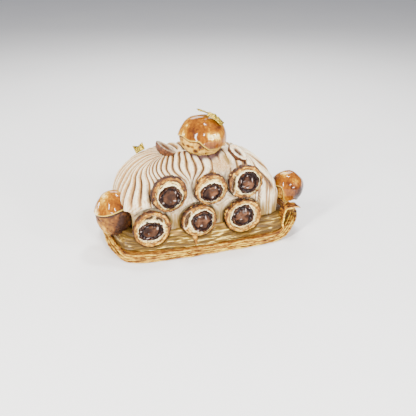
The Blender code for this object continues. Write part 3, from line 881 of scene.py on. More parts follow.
        # Painted highlight on the rims of the pockets and on the lip round the praline.
        lip = 0.9 * bump_at(pocket, 0.12, 0.10) * (pocket > 0.004)
        lip[-8:] = 1.0
        crumb = crumb * (1.0 - 0.92 * ease(0.02, 0.36, strokes))
        return {"crumb": crumb, "pocket": pocket, "bake": bake, "lip": lip}

    def nib_sheet(self) -> Sheet:
        """Return the small hooked nib of crust that hangs under the choux.

        Returns:
            A tapered tube.
        """
        top_x, top_z, tip_x, tip_z = self.nib
        steps = np.linspace(0.0, 1.0, 16)[:, None]
        radius = 0.0036 * (1.0 - steps) ** 1.15 + 0.00025
        around = turns(16)
        x = top_x + (tip_x - top_x) * steps**1.4 + radius * np.cos(around)
        y = CUT_Y - 0.0002 - 0.0084 * ease(0.0, 0.8, steps) + 0.6 * radius * np.sin(around)
        bake = 0.22 + 0.62 * np.abs(np.cos(around)) ** 3 + 0.5 * steps**2
        return Sheet(points(x, y, top_z + (tip_z - top_z) * steps), {"bake": bake})

    def crust_piece(self) -> Piece:
        """Build the crust and crumb.

        Returns:
            The new piece.
        """
        edge = self.ragged((self.x, self.z, self.width, self.height), 1.7, self.bumps)
        shell = self.shell_rows(edge)
        rows, crumb = self.crumb_rows(edge)
        spots = np.stack(shell + rows)
        inner = np.stack([np.zeros(self.columns)] * len(shell) + crumb)
        pocket = self.press_pockets(spots)
        sheets = [Sheet(spots, self.crust_marks(spots, inner, pocket))]
        if self.nib:
            sheets.append(self.nib_sheet())
        return add_piece(f"cut_choux_{self.number}", sheets, CRUST, f"choux_cut_{self.number}")

    def praline_piece(self) -> Piece:
        """Build the glossy praline: a duller heart, a dark moat round it and a lumpy ring at its edge, with
        painted shade in the moat and creases and painted glints.

        Returns:
            The new piece.
        """
        middle = np.array(self.core[:2])
        away = self.praline_edge() - middle
        rows = []
        for back in self.praline_sides:
            flat = middle + away * (1.0 - back * 30.0)
            rows.append(points(flat[:, 0], CUT_Y + back, flat[:, 1]))
        for step in np.linspace(1.0, 0.03, self.praline_rings):
            flat = middle + away * step * 1.005
            swell = 0.0014 * math.sqrt(max(1.0 - step**4, 0.0)) - 0.0006
            rows.append(points(flat[:, 0], CUT_Y - swell, flat[:, 1]))
        spots = np.stack(rows)
        across, rise = spots[..., 0] - middle[0], spots[..., 2] - middle[1]
        near = np.hypot(across / self.core[2], rise / self.core[3])
        shown = ease(1.04, 0.90, near) * ease(CUT_Y + 0.0014, CUT_Y + 0.0002, spots[..., 1])
        seed = 40.0 + self.number
        warp = 0.0035 * grain(spots, 0.009, seed)
        bent = spots + points(warp, 0.0, -warp)
        wander = near + 0.15 * grain(spots, 0.0065, seed + 0.3, 2)
        heart = np.exp(-((wander / 0.58) ** 6))
        moat = bump_at(wander, 0.70, 0.08)
        ring = bump_at(near, 0.88, 0.13)
        ripple = grain(bent, (0.0062, 0.02, 0.0052), seed + 0.5)
        lobes = grain(bent, (0.0036, 0.02, 0.0036), seed + 0.7)
        # Painted highlights at the glint spots, each with a slight swell.
        gleam = np.zeros(near.shape)
        for x, z, wide, tall in self.glint_spots:
            gleam = gleam + np.exp(-(((across - x) / (0.62 * wide)) ** 2) - ((rise - z) / (0.62 * tall)) ** 2)
        relief = 0.0007 * heart + 0.0021 * ripple + 0.0018 * (0.5 + lobes) * ring - 0.0009 * moat
        spots[..., 1] -= shown * (relief + 0.0004 * gleam)
        # Painted light and shade that follow the relief, dark in the moat and creases and lighter on the
        # ripples and lobes, with the duller heart.
        matt = 0.36 * heart + 0.80 * ripple * heart + 0.75 * lobes * ring + 0.22 - 0.50 * moat
        sheet = Sheet(spots, {"matt": matt, "gleam": np.clip(gleam * shown, 0.0, 1.0)})
        return add_piece(f"praline_filling_{self.number}", [sheet], PRALINE, f"praline_{self.number}")

    def build(self) -> list[Piece]:
        """Build the crust and the praline."""
        return [self.crust_piece(), self.praline_piece()]


CUT_CHOUX = (
    CutChou(
        1, -0.0457, 0.0706, 0.0186, 0.0194, 0.0176, (-0.0451, 0.0668, 0.0122, 0.0126),
        (
            (0.0057, 0.0052, 0.0010, 0.0029), (0.0042, -0.0030, 0.0027, 0.0010),
            (-0.0069, -0.0051, 0.0017, 0.0017), (-0.0098, 0.0020, 0.0008, 0.0010),
            (0.0080, 0.0010, 0.0006, 0.0019),
        ),
        bake=0.16,
    ),
    CutChou(
        2, -0.0017, 0.0700, 0.0173, 0.0168, 0.0160, (-0.0012, 0.0664, 0.0122, 0.0100),
        (
            (0.0034, 0.0057, 0.0015, 0.0019), (0.0004, -0.0045, 0.0017, 0.0022),
            (-0.0078, 0.0052, 0.0010, 0.0008),
            (0.0077, 0.0023, 0.0007, 0.0014),
        ),
    ),
    CutChou(
        3, 0.0358, 0.0728, 0.0187, 0.0184, 0.0172, (0.0384, 0.0716, 0.0117, 0.0130),
        (
            (-0.0084, 0.0033, 0.0013, 0.0031), (0.0044, 0.0029, 0.0008, 0.0034),
            (-0.0012, -0.0046, 0.0021, 0.0008),
            (-0.0011, 0.0079, 0.0017, 0.0008),
        ),
        ((0.0232, 0.0712, 0.0020, 0.0070, -0.12),),
    ),
    CutChou(
        4, -0.0644, 0.0339, 0.0198, 0.0196, 0.0180, (-0.0655, 0.0320, 0.0138, 0.0106),
        (
            (0.0063, 0.0032, 0.0019, 0.0029), (-0.0108, 0.0023, 0.0017, 0.0013),
            (-0.0042, -0.0072, 0.0038, 0.0008),
            (-0.0062, 0.0067, 0.0017, 0.0007),
        ),
        ((-0.0672, 0.0458, 0.0052, 0.0021, 0.50), (-0.0562, 0.0434, 0.0046, 0.0019, -0.75)),
    ),
    CutChou(
        5, -0.0144, 0.0360, 0.0188, 0.0176, 0.0172, (-0.0112, 0.0345, 0.0122, 0.0124),
        (
            (0.0034, 0.0047, 0.0010, 0.0031), (-0.0014, -0.0041, 0.0021, 0.0019),
            (-0.0058, -0.0087, 0.0027, 0.0011), (0.0100, 0.0011, 0.0008, 0.0017),
            (-0.0033, 0.0064, 0.0021, 0.0010),
        ),
        ((-0.0268, 0.0388, 0.0028, 0.0066, -0.25),),
        nib=(-0.0196, 0.0200, -0.0212, 0.0122),
    ),
    CutChou(
        6, 0.0346, 0.0334, 0.0203, 0.0186, 0.0180, (0.0337, 0.0342, 0.0126, 0.0128),
        (
            (0.0067, 0.0022, 0.0009, 0.0026), (-0.0025, -0.0033, 0.0023, 0.0016),
            (0.0028, 0.0065, 0.0008, 0.0038), (-0.0100, 0.0036, 0.0017, 0.0012),
            (0.0070, 0.0080, 0.0015, 0.0010),
        ),
        bake=-0.12,
    ),
)


@dataclass(frozen=True)
class Dome:
    """Smooth form of the whipped cream."""

    middle: Triple = (-0.0070, -0.0120, 0.0420)
    halves: Four = (0.0852, 0.0650, 0.0855, 0.0385)
    powers: Four = (2.6, 2.6, 6.4, 6.4)
    high_power: float = 2.8
    rise: float = 0.0565
    profile: float = 2.5

    def level(self, spots: Array) -> Array:
        """Return a value that is 1 on the dome and grows outward.

        Args:
            spots: Points to measure.

        Returns:
            The value at each point.
        """
        away = spots - np.array(self.middle)
        width = np.where(away[..., 0] > 0.0, self.halves[0], self.halves[2])
        depth = np.where(away[..., 1] > 0.0, self.halves[1], self.halves[3])
        square = ease(0.080, 0.056, spots[..., 2])
        front = self.high_power * (1.0 - square) + self.powers[2] * square
        power = np.where(away[..., 1] > 0.0, self.powers[0], front)
        plan = np.abs(away[..., 0] / width) ** power + np.abs(away[..., 1] / depth) ** power
        height = np.maximum(away[..., 2], 0.0) / self.rise
        return (plan ** (1.0 / power)) ** self.profile + height**self.profile

    def onto(self, spots: Array) -> Array:
        """Return points moved onto the dome along lines from its middle.

        Args:
            spots: Points near the dome.

        Returns:
            The moved points.
        """
        middle = np.array(self.middle)
        for _ in range(4):
            scale = self.level(spots) ** (-1.0 / self.profile)
            spots = middle + (spots - middle) * scale[..., None]
        return spots

    def normals(self, spots: Array) -> Array:
        """Return outward directions at points of the dome.

        Args:
            spots: Points of the dome.

        Returns:
            One direction for each point.
        """
        base = self.level(spots)
        return unit(np.stack([self.level(spots + nudge) - base for nudge in 0.00002 * np.eye(3)], axis=-1))


@dataclass
class WhippedCream:
    """The piped dome: ridges fan out from a hub and end in a lip, and the front is cut smooth."""

    dome: Dome = Dome()
    ridges: int = 44
    per_ridge: int = 16
    near: int = 14
    depth: float = 0.0019
    piped: float = 0.920
    rows: int = 104
    foot_rows: int = 26
    foot: float = 0.0273
    tucks: Four = (-0.0030, 0.0040, 0.0125, 0.0010)
    hub: Triple = (0.0260, 0.0016, 0.0900)
    straight: Pair = (0.0180, 0.0180)
    swirl: Triple = (0.95, math.radians(192.0), math.radians(38.0))
    pleat: Pair = (-0.0200, 0.0740)
    pressed_y: float = -0.0440
    groove: float = 0.0011

    def calm(self, spots: Array) -> Array:
        """Return how much the ridges are smoothed away, 1 on the cut face and in the smear.

        Args:
            spots: Points of the cream.

        Returns:
            The share at each point.
        """
        x, y, z = np.moveaxis(spots, -1, 0)
        front = ease(-0.034, -0.044, y) * ease(-0.060, -0.046, x)
        top = 0.083 - 0.024 * ease(0.036, 0.058, x)
        smear = np.exp(-(((x - 0.0150) / 0.0118) ** 4)) * bump_at(y, -0.042, 0.015)
        return np.maximum(front * ease(0.0, 1.0, (top - z) / 0.013), smear)

    def front_fade(self, spots: Array) -> Array:
        """Return how far the ridges still stand out above the foot of the front face."""
        front = ease(-0.038, -0.046, spots[..., 1]) * ease(-0.098, -0.086, spots[..., 0])
        return 1.0 - front * ease(0.066, 0.050, spots[..., 2])

    def gathered(self, spots: Array) -> Array:
        """Return points drawn sideways towards the pleat above the cut choux.

        Args:
            spots: Points of the dome.

        Returns:
            The moved points.
        """
        away, above = spots[..., 0] - self.pleat[0], spots[..., 2] - self.pleat[1]
        front = ease(-0.020, -0.034, spots[..., 1]) * bump_at(away, 0.0, 0.024)
        pull = 0.78 * bump_at(above, 0.0, 0.0100) - 0.42 * bump_at(above, 0.0150, 0.0075)
        return self.dome.onto(spots - points(away * front * pull, 0.0, 0.0))

    def tuck(self, angle: Array) -> Array:
        """Return how far the foot draws in.

        Args:
            angle: Angles in plan.

        Returns:
            The distance at each angle.
        """
        across, back = np.cos(angle), np.sin(angle) > 0.0
        side = np.where(across > 0.0, self.tucks[0], self.tucks[2])
        other = np.where(back, self.tucks[1], self.tucks[3])
        start = np.where(back, 0.55, 0.88)
        share = ease(0.0, 1.0, (np.abs(across) - start) / (0.98 - start))
        return side * share + other * (1.0 - share)

    def crest(self, passed: Array, beside: Array) -> tuple[Array, Array]:
        """Return the height of the ridges and the painted shade of each point, dark in the valleys and along
        one flank of each ridge.

        Args:
            passed: Number of ridges passed so far round the dome.
            beside: Width of the ridges in metres.

        Returns:
            The height as a share of the ridge depth, and the painted shade from 0 to 1.
        """
        side = 2.0 * np.mod(passed, 1.0) - 1.0
        across = np.abs(side)
        fullness = 1.0 + 0.22 * np.sin(np.floor(passed) * 2.4)
        height = 0.75 * fullness - 2.15 * across**3.0
        # Painted shade: dark in each valley and along one flank of the ridge, with a soft line near its
        # middle.
        tint = 0.74 * ease(0.66, 0.96, across) + 0.42 * ease(-0.06, 0.62, side)
        tint = np.clip(tint + 0.14 * bump_at(side, -0.20, 0.14), 0.0, 1.0)
        return height * np.clip(beside / 0.0062, 0.0, 1.1), tint * np.clip(beside / 0.0026, 0.0, 1.0)

    def piping(self, angle: Array, rim: Array, share: Array) -> Array:
        """Return smooth points along the lines of piping, from the hub out to the rim.

        Args:
            angle: Angle of each line's end.
            rim: Each line's end, from the dome's middle.
            share: How far down each line the rows lie.

        Returns:
            Points in rows and columns.
        """
        spine = np.where(rim[:, 0] > 0.0, self.hub[2], self.hub[0])
        hub_x = spine * np.tanh((0.85 + 0.11 * ease(0.0, 0.04, rim[:, 0])) * rim[:, 0] / spine)
        hub = points(hub_x, self.hub[1] * np.tanh(rim[:, 1] / 0.020), 0.0)
        chord = np.roll(rim, -self.near, axis=0) - np.roll(rim, self.near, axis=0)
        amount, middle, width = self.swirl
        turned = amount * bump_at(np.mod(angle, math.tau), middle, width)
        heading = np.arctan2(chord[:, 0], -chord[:, 1]) + turned
        straight = self.straight[0] + self.straight[1] * ease(0.35, -0.15, np.cos(angle))
        elbow = rim + circle(heading) * straight[:, None]
        reached = (np.sin(math.pi / 2 * share) ** (2.0 / self.dome.profile))[:, None, None]
        level = (np.cos(math.pi / 2 * share) ** (2.0 / self.dome.profile))[:, None, None]
        first = hub + (elbow - hub) * reached
        spots = np.array(self.dome.middle) + first + (elbow + (rim - elbow) * reached - first) * reached
        return self.gathered(self.dome.onto(spots + UP * self.dome.rise * level))

    def ridged(self, spots: Array, phase: Array, rim: Array) -> tuple[Array, Array]:
        """Return the relief of the ridges and their painted shade: split in two over the cut choux, paired at
        the right front.

        Args:
            spots: Smooth points of the dome.
            phase: Number of ridges passed so far at each point.
            rim: Each line's end, from the dome's middle.

        Returns:
            The height as a share of the ridge depth, and the painted shade of the valleys and flanks.
        """
        across = np.roll(spots, -1, axis=1) - np.roll(spots, 1, axis=1)
        beside = np.linalg.norm(across, axis=-1) * self.per_ridge / 2.0
        passed = phase + 0.12 * grain(spots, 0.014, 3.0)
        wide, narrow = self.crest(passed, beside), self.crest(2.0 * passed, beside / 2.0)
        paired = self.crest(0.5 * (phase + 0.06 * grain(spots, 0.020, 3.0)) + 0.35, 2.0 * beside)
        split = ease(-0.060, -0.053, rim[:, 0]) * ease(0.004, -0.003, rim[:, 0]) * (rim[:, 1] < 0.0)
        join = ease(0.040, 0.046, rim[:, 0]) * ease(-0.008, -0.020, rim[:, 1])
        join = join * ease(0.046, 0.064, spots[..., 2])
        height, valley = (
            (whole * (1.0 - split) + half * split) * (1.0 - join) + pair * join
            for whole, half, pair in zip(wide, narrow, paired)
        )
        return height, valley

    def build(self) -> list[Piece]:
        """Build the cream.

        Returns:
            The new piece.
        """
        count = self.ridges * self.per_ridge
        angle, _ = spaced_angles(count, self.dome.halves, self.dome.powers)
        rim = circle(angle) * outline_reach(angle, self.dome.halves, self.dome.powers)[:, None]
        share = self.piped * np.arange(self.rows) / (self.rows - 1)
        spots = self.piping(angle, rim, share)
        phase = np.broadcast_to(np.arange(count) / self.per_ridge, spots.shape[:2])
        calm = self.calm(spots)
        shown = ease(0.0, 0.06, share)[:, None] * (1.0 - 0.94 * calm) * self.front_fade(spots)
        height, valley = self.ridged(spots, phase, rim)
        x, y, z = np.moveaxis(spots, -1, 0)
        # The crown and right masks strengthen the painted shade of the valleys there.
        crown = ease(0.078, 0.088, z) * ease(0.006, -0.006, x) * ease(-0.064, -0.052, x)
        right = ease(0.020, 0.045, x) * ease(0.000, -0.014, y)
        valley = np.clip(valley * shown * (1.0 + 0.90 * right + 0.45 * crown), 0.0, 1.0)
        streaks = 0.00016 * np.sin(phase * math.tau * 4.0 + 3.0 * grain(spots, 0.02, 5.0))
        lumps = 0.0005 * grain(spots, 0.009, 6.0)
        relief = (self.depth * height + streaks) * shown + lumps + calm * self.knife_marks(spots)
        surface = spots + self.dome.normals(spots) * relief[..., None]
        # Where the ridges are smoothed away, the same mark adds a faint even beige tint.
        valley = valley + 0.16 * (1.0 - shown) * ease(0.0, 0.3, share)[:, None]
        sheet = self.with_foot(surface, spots, angle, valley)
        self.paint_front(sheet, *self.press_choux(sheet))
        self.smear(sheet)
        return [add_piece("piped_cream", [sheet], CREAM, "whipped_cream")]

    def knife_marks(self, spots: Array) -> Array:
        """Return the relief of the cut face: soft swirls, and fine upright streaks at its right end."""
        swirls = 0.0007 * grain(spots, (0.007, 0.02, 0.022), 8.0)
        return swirls + 0.0007 * ease(0.044, 0.056, spots[..., 0]) * self.upright_grain(spots)

    def upright_grain(self, spots: Array) -> Array:
        """Return fine upright streaks."""
        return grain(spots, (0.0018, 0.02, 0.034), 9.0)

    def with_foot(self, surface: Array, spots: Array, angle: Array, valley: Array) -> Sheet:
        """Carry the dome down over its lip to the foot.

        Args:
            surface: Points of the ridged dome.
            spots: Points of the smooth dome.
            angle: Angle of each column.
            valley: Painted shade of the valleys and flanks.

        Returns:
            The whole sheet.
        """
        drop = (np.arange(1, self.foot_rows + 1) / self.foot_rows)[:, None] ** 1.5
        top = surface[-1, :, 2]
        level = top + (self.foot - top) * drop
        share = 1.0 - np.exp(-300.0 * (top - level))
        left = ease(0.2, -0.5, np.cos(angle)) * ease(0.2, -0.2, np.sin(angle))
        smooth = share * left + ease(0.0, 1.4, drop) * (1.0 - left)
        base = surface[-1] * (1.0 - smooth[..., None]) + spots[-1] * smooth[..., None]
        inward = circle(angle) * (self.tuck(angle) * share)[..., None]
        foot = points(base[..., 0], base[..., 1], level) - inward
        foot = foot + circle(angle) * (self.calm(foot) * self.knife_marks(foot))[..., None]
        below = valley[-1] * (1.0 - smooth) + 0.16 * smooth
        grid = np.concatenate((surface, foot, foot[-1:] * np.array((0.86, 0.86, 1.0))))
        return Sheet(grid, {"valley": np.concatenate((valley, below, below[-1:]))})

    def press_choux(self, sheet: Sheet) -> tuple[Array, Array, Array, Array]:
        """Work out how the cut choux press the cream back, with a groove round each.

        Args:
            sheet: The cream.

        Returns:
            Each point's share in the front, its Y once it is pressed back, the painted shade in the nook
            round each choux, and how near the nearest choux lies.
        """
        x, y, z = np.moveaxis(sheet.spots, -1, 0)
        front, close = ease(-0.030, -0.042, y), ease(-0.0400, -0.0450, y)
        nook, nearest = np.zeros(x.shape), np.full(x.shape, 9.0)
        for choux in CUT_CHOUX:
            near = choux.nearness(x, z, 0.0006)
            inside = ease(1.02, 0.94, near) * front
            y = np.maximum(y, y * (1.0 - inside) + self.pressed_y * inside)
            y = y + self.groove * bump_at(near, 1.02, 0.07) * close
            # Painted shade in the nook round each choux.
            nook = np.maximum(nook, 0.66 * bump_at(near, 1.0, 0.055) * close)
            nearest = np.minimum(nearest, near)
        return front, y, nook, nearest

    def paint_front(self, sheet: Sheet, front: Array, y: Array, nook: Array, nearest: Array) -> None:
        """Press the front back, with waves round the choux, the custard stain, streaks, painted shade in the
        nooks and in the troughs of the streaks and waves, and a painted contact shadow under the top choux.

        Args:
            sheet: The cream, whose points and marks are changed.
            front: Each point's share in the front.
            y: Each point's Y once it is pressed back.
            nook: The painted shade in the nook round each choux.
            nearest: How near the nearest choux lies.
        """
        x, _, z = np.moveaxis(sheet.spots, -1, 0)
        face = ease(-0.022, -0.034, y)
        around = ease(1.05, 1.12, nearest) * ease(1.75, 1.25, nearest) * ease(0.074, 0.060, z) * front
        wave = np.sin(nearest * 40.0 + 6.0 * grain(sheet.spots, (0.016, 0.02, 0.016), 12.0))
        wave = wave * ease(-0.45, 0.25, grain(sheet.spots, 0.008, 13.0))
        sheet.spots[..., 1] = y - 0.0004 * wave * around
        blotch = grain(sheet.spots, (0.006, 0.02, 0.009), 11.0, 3)
        upright = self.upright_grain(sheet.spots) * ease(0.040, 0.052, x) * face * ease(0.072, 0.058, z)
        stain = ease(0.058, 0.036, z + 0.007 * blotch + 0.004 * ease(0.02, 0.05, x)) * face
        stain = stain * (0.96 + 0.20 * wave * around + 0.25 * blotch - 0.6 * upright)
        # Painted contact shadow on the cream round the foot of the top choux.
        contact_shadow = ease(0.0236, 0.0198, np.hypot(x - 0.0026, y + 0.0120)) * ease(0.080, 0.090, z)
        # Painted shade in the troughs of the knife streaks, joined with the nook shade and the contact
        # shadow.
        nook = np.maximum(nook, np.maximum(0.46 * ease(0.08, 0.45, -upright), contact_shadow))
        # Painted light and shade that follow the waves round the choux, and lighter along the knife streaks.
        sheet.marks["valley"] += (0.30 * wave * around - 0.75 * upright) * ease(1.02, 1.10, nearest)
        # Painted shade in the wave troughs round the choux.
        sheet.marks["nook"] = np.maximum(nook, 0.40 * around * ease(0.35, 0.95, -wave))
        sheet.marks["stain"] = np.clip(stain, 0.0, 1.0)

    def smear(self, sheet: Sheet) -> None:
        """Add the smeared patch above the middle cut choux, with its flap, its fold and the line beside it.

        Args:
            sheet: The cream, whose points and marks are changed.
        """
        x, y, z = np.moveaxis(sheet.spots, -1, 0)
        front = ease(-0.024, -0.030, y)
        fold = ease(0.0042, 0.0012, np.hypot(x - 0.0222 + 0.6 * (z - 0.0915), (z - 0.0915) / 1.8))
        fold = fold * ease(-0.022, -0.027, y)
        flap = bump_at(np.hypot(x - 0.0228, (z - 0.0912) / 1.3), 0.0052, 0.0014)
        flap = flap * ease(0.0205, 0.0235, x) * ease(-0.022, -0.028, y)
        sheet.spots += flap[..., None] * np.array((0.0, -0.0016, 0.0010))
        patch = np.exp(-(((x - 0.0155) / 0.0112) ** 6) - ((z - 0.0880) / 0.0080) ** 4) * front
        line = bump_at(x, 0.0046, 0.0007) * ease(0.078, 0.083, z) * ease(0.096, 0.092, z) * front
        speckle = 0.5 + 0.5 * grain(sheet.spots, 0.0016, 14.0)
        # Through the valley shade mark, the flap is cleared of painted shade, the patch gets an even beige
        # tint and a darker line runs beside it.
        valley = np.maximum(sheet.marks["valley"] - flap, patch * (0.30 + 0.12 * speckle))
        sheet.marks["valley"] = valley + 0.55 * line
        sheet.marks["stain"] = np.maximum(sheet.marks["stain"], 0.92 * fold)


@dataclass
class PuffPastry:
    """The base: four flaky layers whose ends curl up, and a flake that peels off at the right."""

    halves: Four = (0.1085, 0.0670, 0.1050, 0.0636)
    powers: Four = (2.6, 2.8, 4.6, 4.2)
    thick: float = 0.0096
    layers: int = 4
    columns: int = 760
    curls: Four = (1.22, 0.42, 0.60, 0.05)
    widths: Four = (0.0330, 0.0180, 0.0190, 0.0060)
    spreads: Pair = (0.62, 0.86)
    steps: tuple[float, ...] = (0.02, 0.07, 0.16, 0.27, 0.33, 0.37, 0.50, 0.62, 0.67, 0.71, 0.84, 0.93, 0.98)
    under_turns: tuple[float, ...] = (0.0, 0.35, 0.7, 0.9)
    top_tones: tuple[Pair, ...] = ((0.97, 0.45), (0.88, 0.6), (0.7, 0.5), (0.45, 0.5), (0.2, 0.4), (0.0, 0.4))
    flake_path: tuple[Pair, ...] = (
        (0.0812, 0.0120), (0.0808, 0.0215), (0.0820, 0.0285), (0.0856, 0.0332), (0.0908, 0.0352),
        (0.0962, 0.0350),
        (0.1004, 0.0330),
    )
    flake_y: float = -0.0490
    flake_half: float = 0.0060
    flake_thick: float = 0.0030

    def curl(self, angle: Array, reach: Array) -> tuple[Array, Array]:
        """Return how the edge curls up.

        Args:
            angle: Angles in plan.
            reach: Reach of the outline at each angle.

        Returns:
            The turn of the curl at each angle, and the width that curls.
        """
        across = np.cos(angle)
        right, back = across > 0.0, np.sin(angle) > 0.0
        half = np.where(right, self.halves[0], self.halves[2])
        spread = np.where(right, self.spreads[0], self.spreads[1])
        share = ease(0.0, 1.0, (reach * np.abs(across) / half - spread) / (0.99 - spread))
        curls, widths = (
            np.where(right, ends[0], ends[2]) * share + np.where(back, ends[1], ends[3]) * (1.0 - share)
            for ends in (self.curls, self.widths)
        )
        return curls, widths

    def inside(self, angle: Array, height: Array) -> Array:
        """Return how far the hollow of the pastry reaches.

        Args:
            angle: Angles in plan.
            height: Heights above the floor.

        Returns:
            The reach at each angle and height.
        """
        reach = outline_reach(angle, self.halves, self.powers)
        curl, width = self.curl(angle, reach)
        bend = width / curl
        inner = bend - self.thick
        turn = np.arccos(np.clip((bend - height) / inner, -1.0, 1.0))
        return reach - bend * np.sin(curl) + inner * np.sin(np.minimum(turn, curl))

    def build(self) -> list[Piece]:
        """Build the base with its flake.

        Returns:
            The new piece.
        """
        angle, length = spaced_angles(self.columns, self.halves, self.powers)
        reach = outline_reach(angle, self.halves, self.powers)
        way = circle(angle)
        curl, width = self.curl(angle, reach)
        bend = width / curl
        hub = (reach - bend * np.sin(curl))[:, None] * way
        outward = way * np.cos(curl)[:, None] + UP * np.sin(curl)[:, None]
        even = np.ones(self.columns)

        def along(turn: float, height: Array | float) -> Array:
            """Return points at a share of the curl and a share of the thickness."""
            arm = (bend - height * self.thick)[:, None]
            angles = (curl * turn)[:, None]
            return hub + way * arm * np.sin(angles) + UP * (bend[:, None] - arm * np.cos(angles))

        def rim_noise(size: float, seed: float) -> Array:
            """Return noise that runs round the rim."""
            return grain(way * length / math.tau, size, seed)

        rows = [along(turn, 0.0) for turn in self.under_turns]
        leaf, bake = [even * 0.45] * len(rows), [even * 0.35] * len(rows)
        bounds = [even * 0.0]
        for layer in range(1, self.layers):
            wobble = 0.34 * rim_noise(0.020, 20.0 + layer) + 0.14 * rim_noise(0.006, 30.0 + layer)
            bounds.append((layer + wobble) / self.layers)
        bounds.append(even)
        for layer in range(self.layers):
            offset = 0.0013 * rim_noise(0.014, 40.0 + layer) + 0.0007 * rim_noise(0.004, 50.0 + layer)
            tint = 0.39 * rim_noise(0.011, 60.0 + layer)
            for number, step in enumerate(self.steps):
                rounding = 1.0 - abs(2.0 * step - 1.0) ** 5
                leaves = math.cos(step * math.tau * 3.0)
                rough = 0.00045 * leaves + 0.0005 * rim_noise(0.003, 70.0 + layer * 20 + number)
                flare = 0.0010 + offset + 0.0018 * (rounding - 1.0) + rough * rounding
                height = bounds[layer] + (bounds[layer + 1] - bounds[layer]) * step
                rows.append(along(1.0, height) + outward * flare[:, None])
                # Painted shade where each layer turns back into the gap beside the next, with a random tint
                # and fine leaves.
                leaf.append(np.clip(0.66 * rounding - 0.02 + tint + 0.28 * leaves, 0.0, 1.0))
                bake.append(even * 0.0)
        for turn, tone in self.top_tones:
            rows.append(along(turn, 1.0) + UP * (0.0004 * rim_noise(0.006, 90.0 + turn * 10))[:, None])
            leaf.append(even * 0.5)
            bake.append(even * tone)
        sheet = Sheet(np.stack(rows), {"leaf": np.stack(leaf), "bake": np.stack(bake)})
        return [add_piece("flaky_base", [sheet, self.flake()], PASTRY, "puff_pastry")]

    def flake(self) -> Sheet:
        """Return the curled flake as a flattened tube along its path.

        Returns:
            The tube.
        """
        path = np.array(self.flake_path)
        stations = np.linspace(0.0, len(path) - 1.0, 46)
        line = np.stack([np.interp(stations, np.arange(len(path)), values) for values in path.T], axis=-1)
        for _ in range(6):
            line[1:-1] = (line[:-2] + 2.0 * line[1:-1] + line[2:]) / 4.0
        along = unit(np.gradient(line, axis=0))
        around = turns(28)
        wide = np.sign(np.cos(around)) * np.abs(np.cos(around)) ** 0.5
        deep = np.sign(np.sin(around)) * np.abs(np.sin(around)) ** 0.7
        fade = 0.35 + 0.65 * ease(0.0, 6.0, len(line) - 1.0 - np.arange(len(line)))
        thick = 0.5 * self.flake_thick * deep * fade[:, None]
        x = line[:, :1] + along[:, 1:] * thick
        z = line[:, 1:] - along[:, :1] * thick
        spots = points(x, self.flake_y + self.flake_half * wide, z)
        spots[..., 1] += 0.0022 * grain(spots, (0.006, 0.02, 0.006), 14.0) * wide
        spots += 0.0005 * np.stack([grain(spots, 0.0022, seed) for seed in (15.0, 16.0, 17.0)], axis=-1)
        edge = np.broadcast_to(ease(0.85, 1.0, np.abs(wide)), thick.shape)
        leaf = 0.35 + 0.5 * edge + 0.2 * grain(spots, 0.004, 18.0)
        return Sheet(spots, {"leaf": leaf, "bake": 0.75 * ease(0.2, 0.8, deep) * (1.0 - edge)})


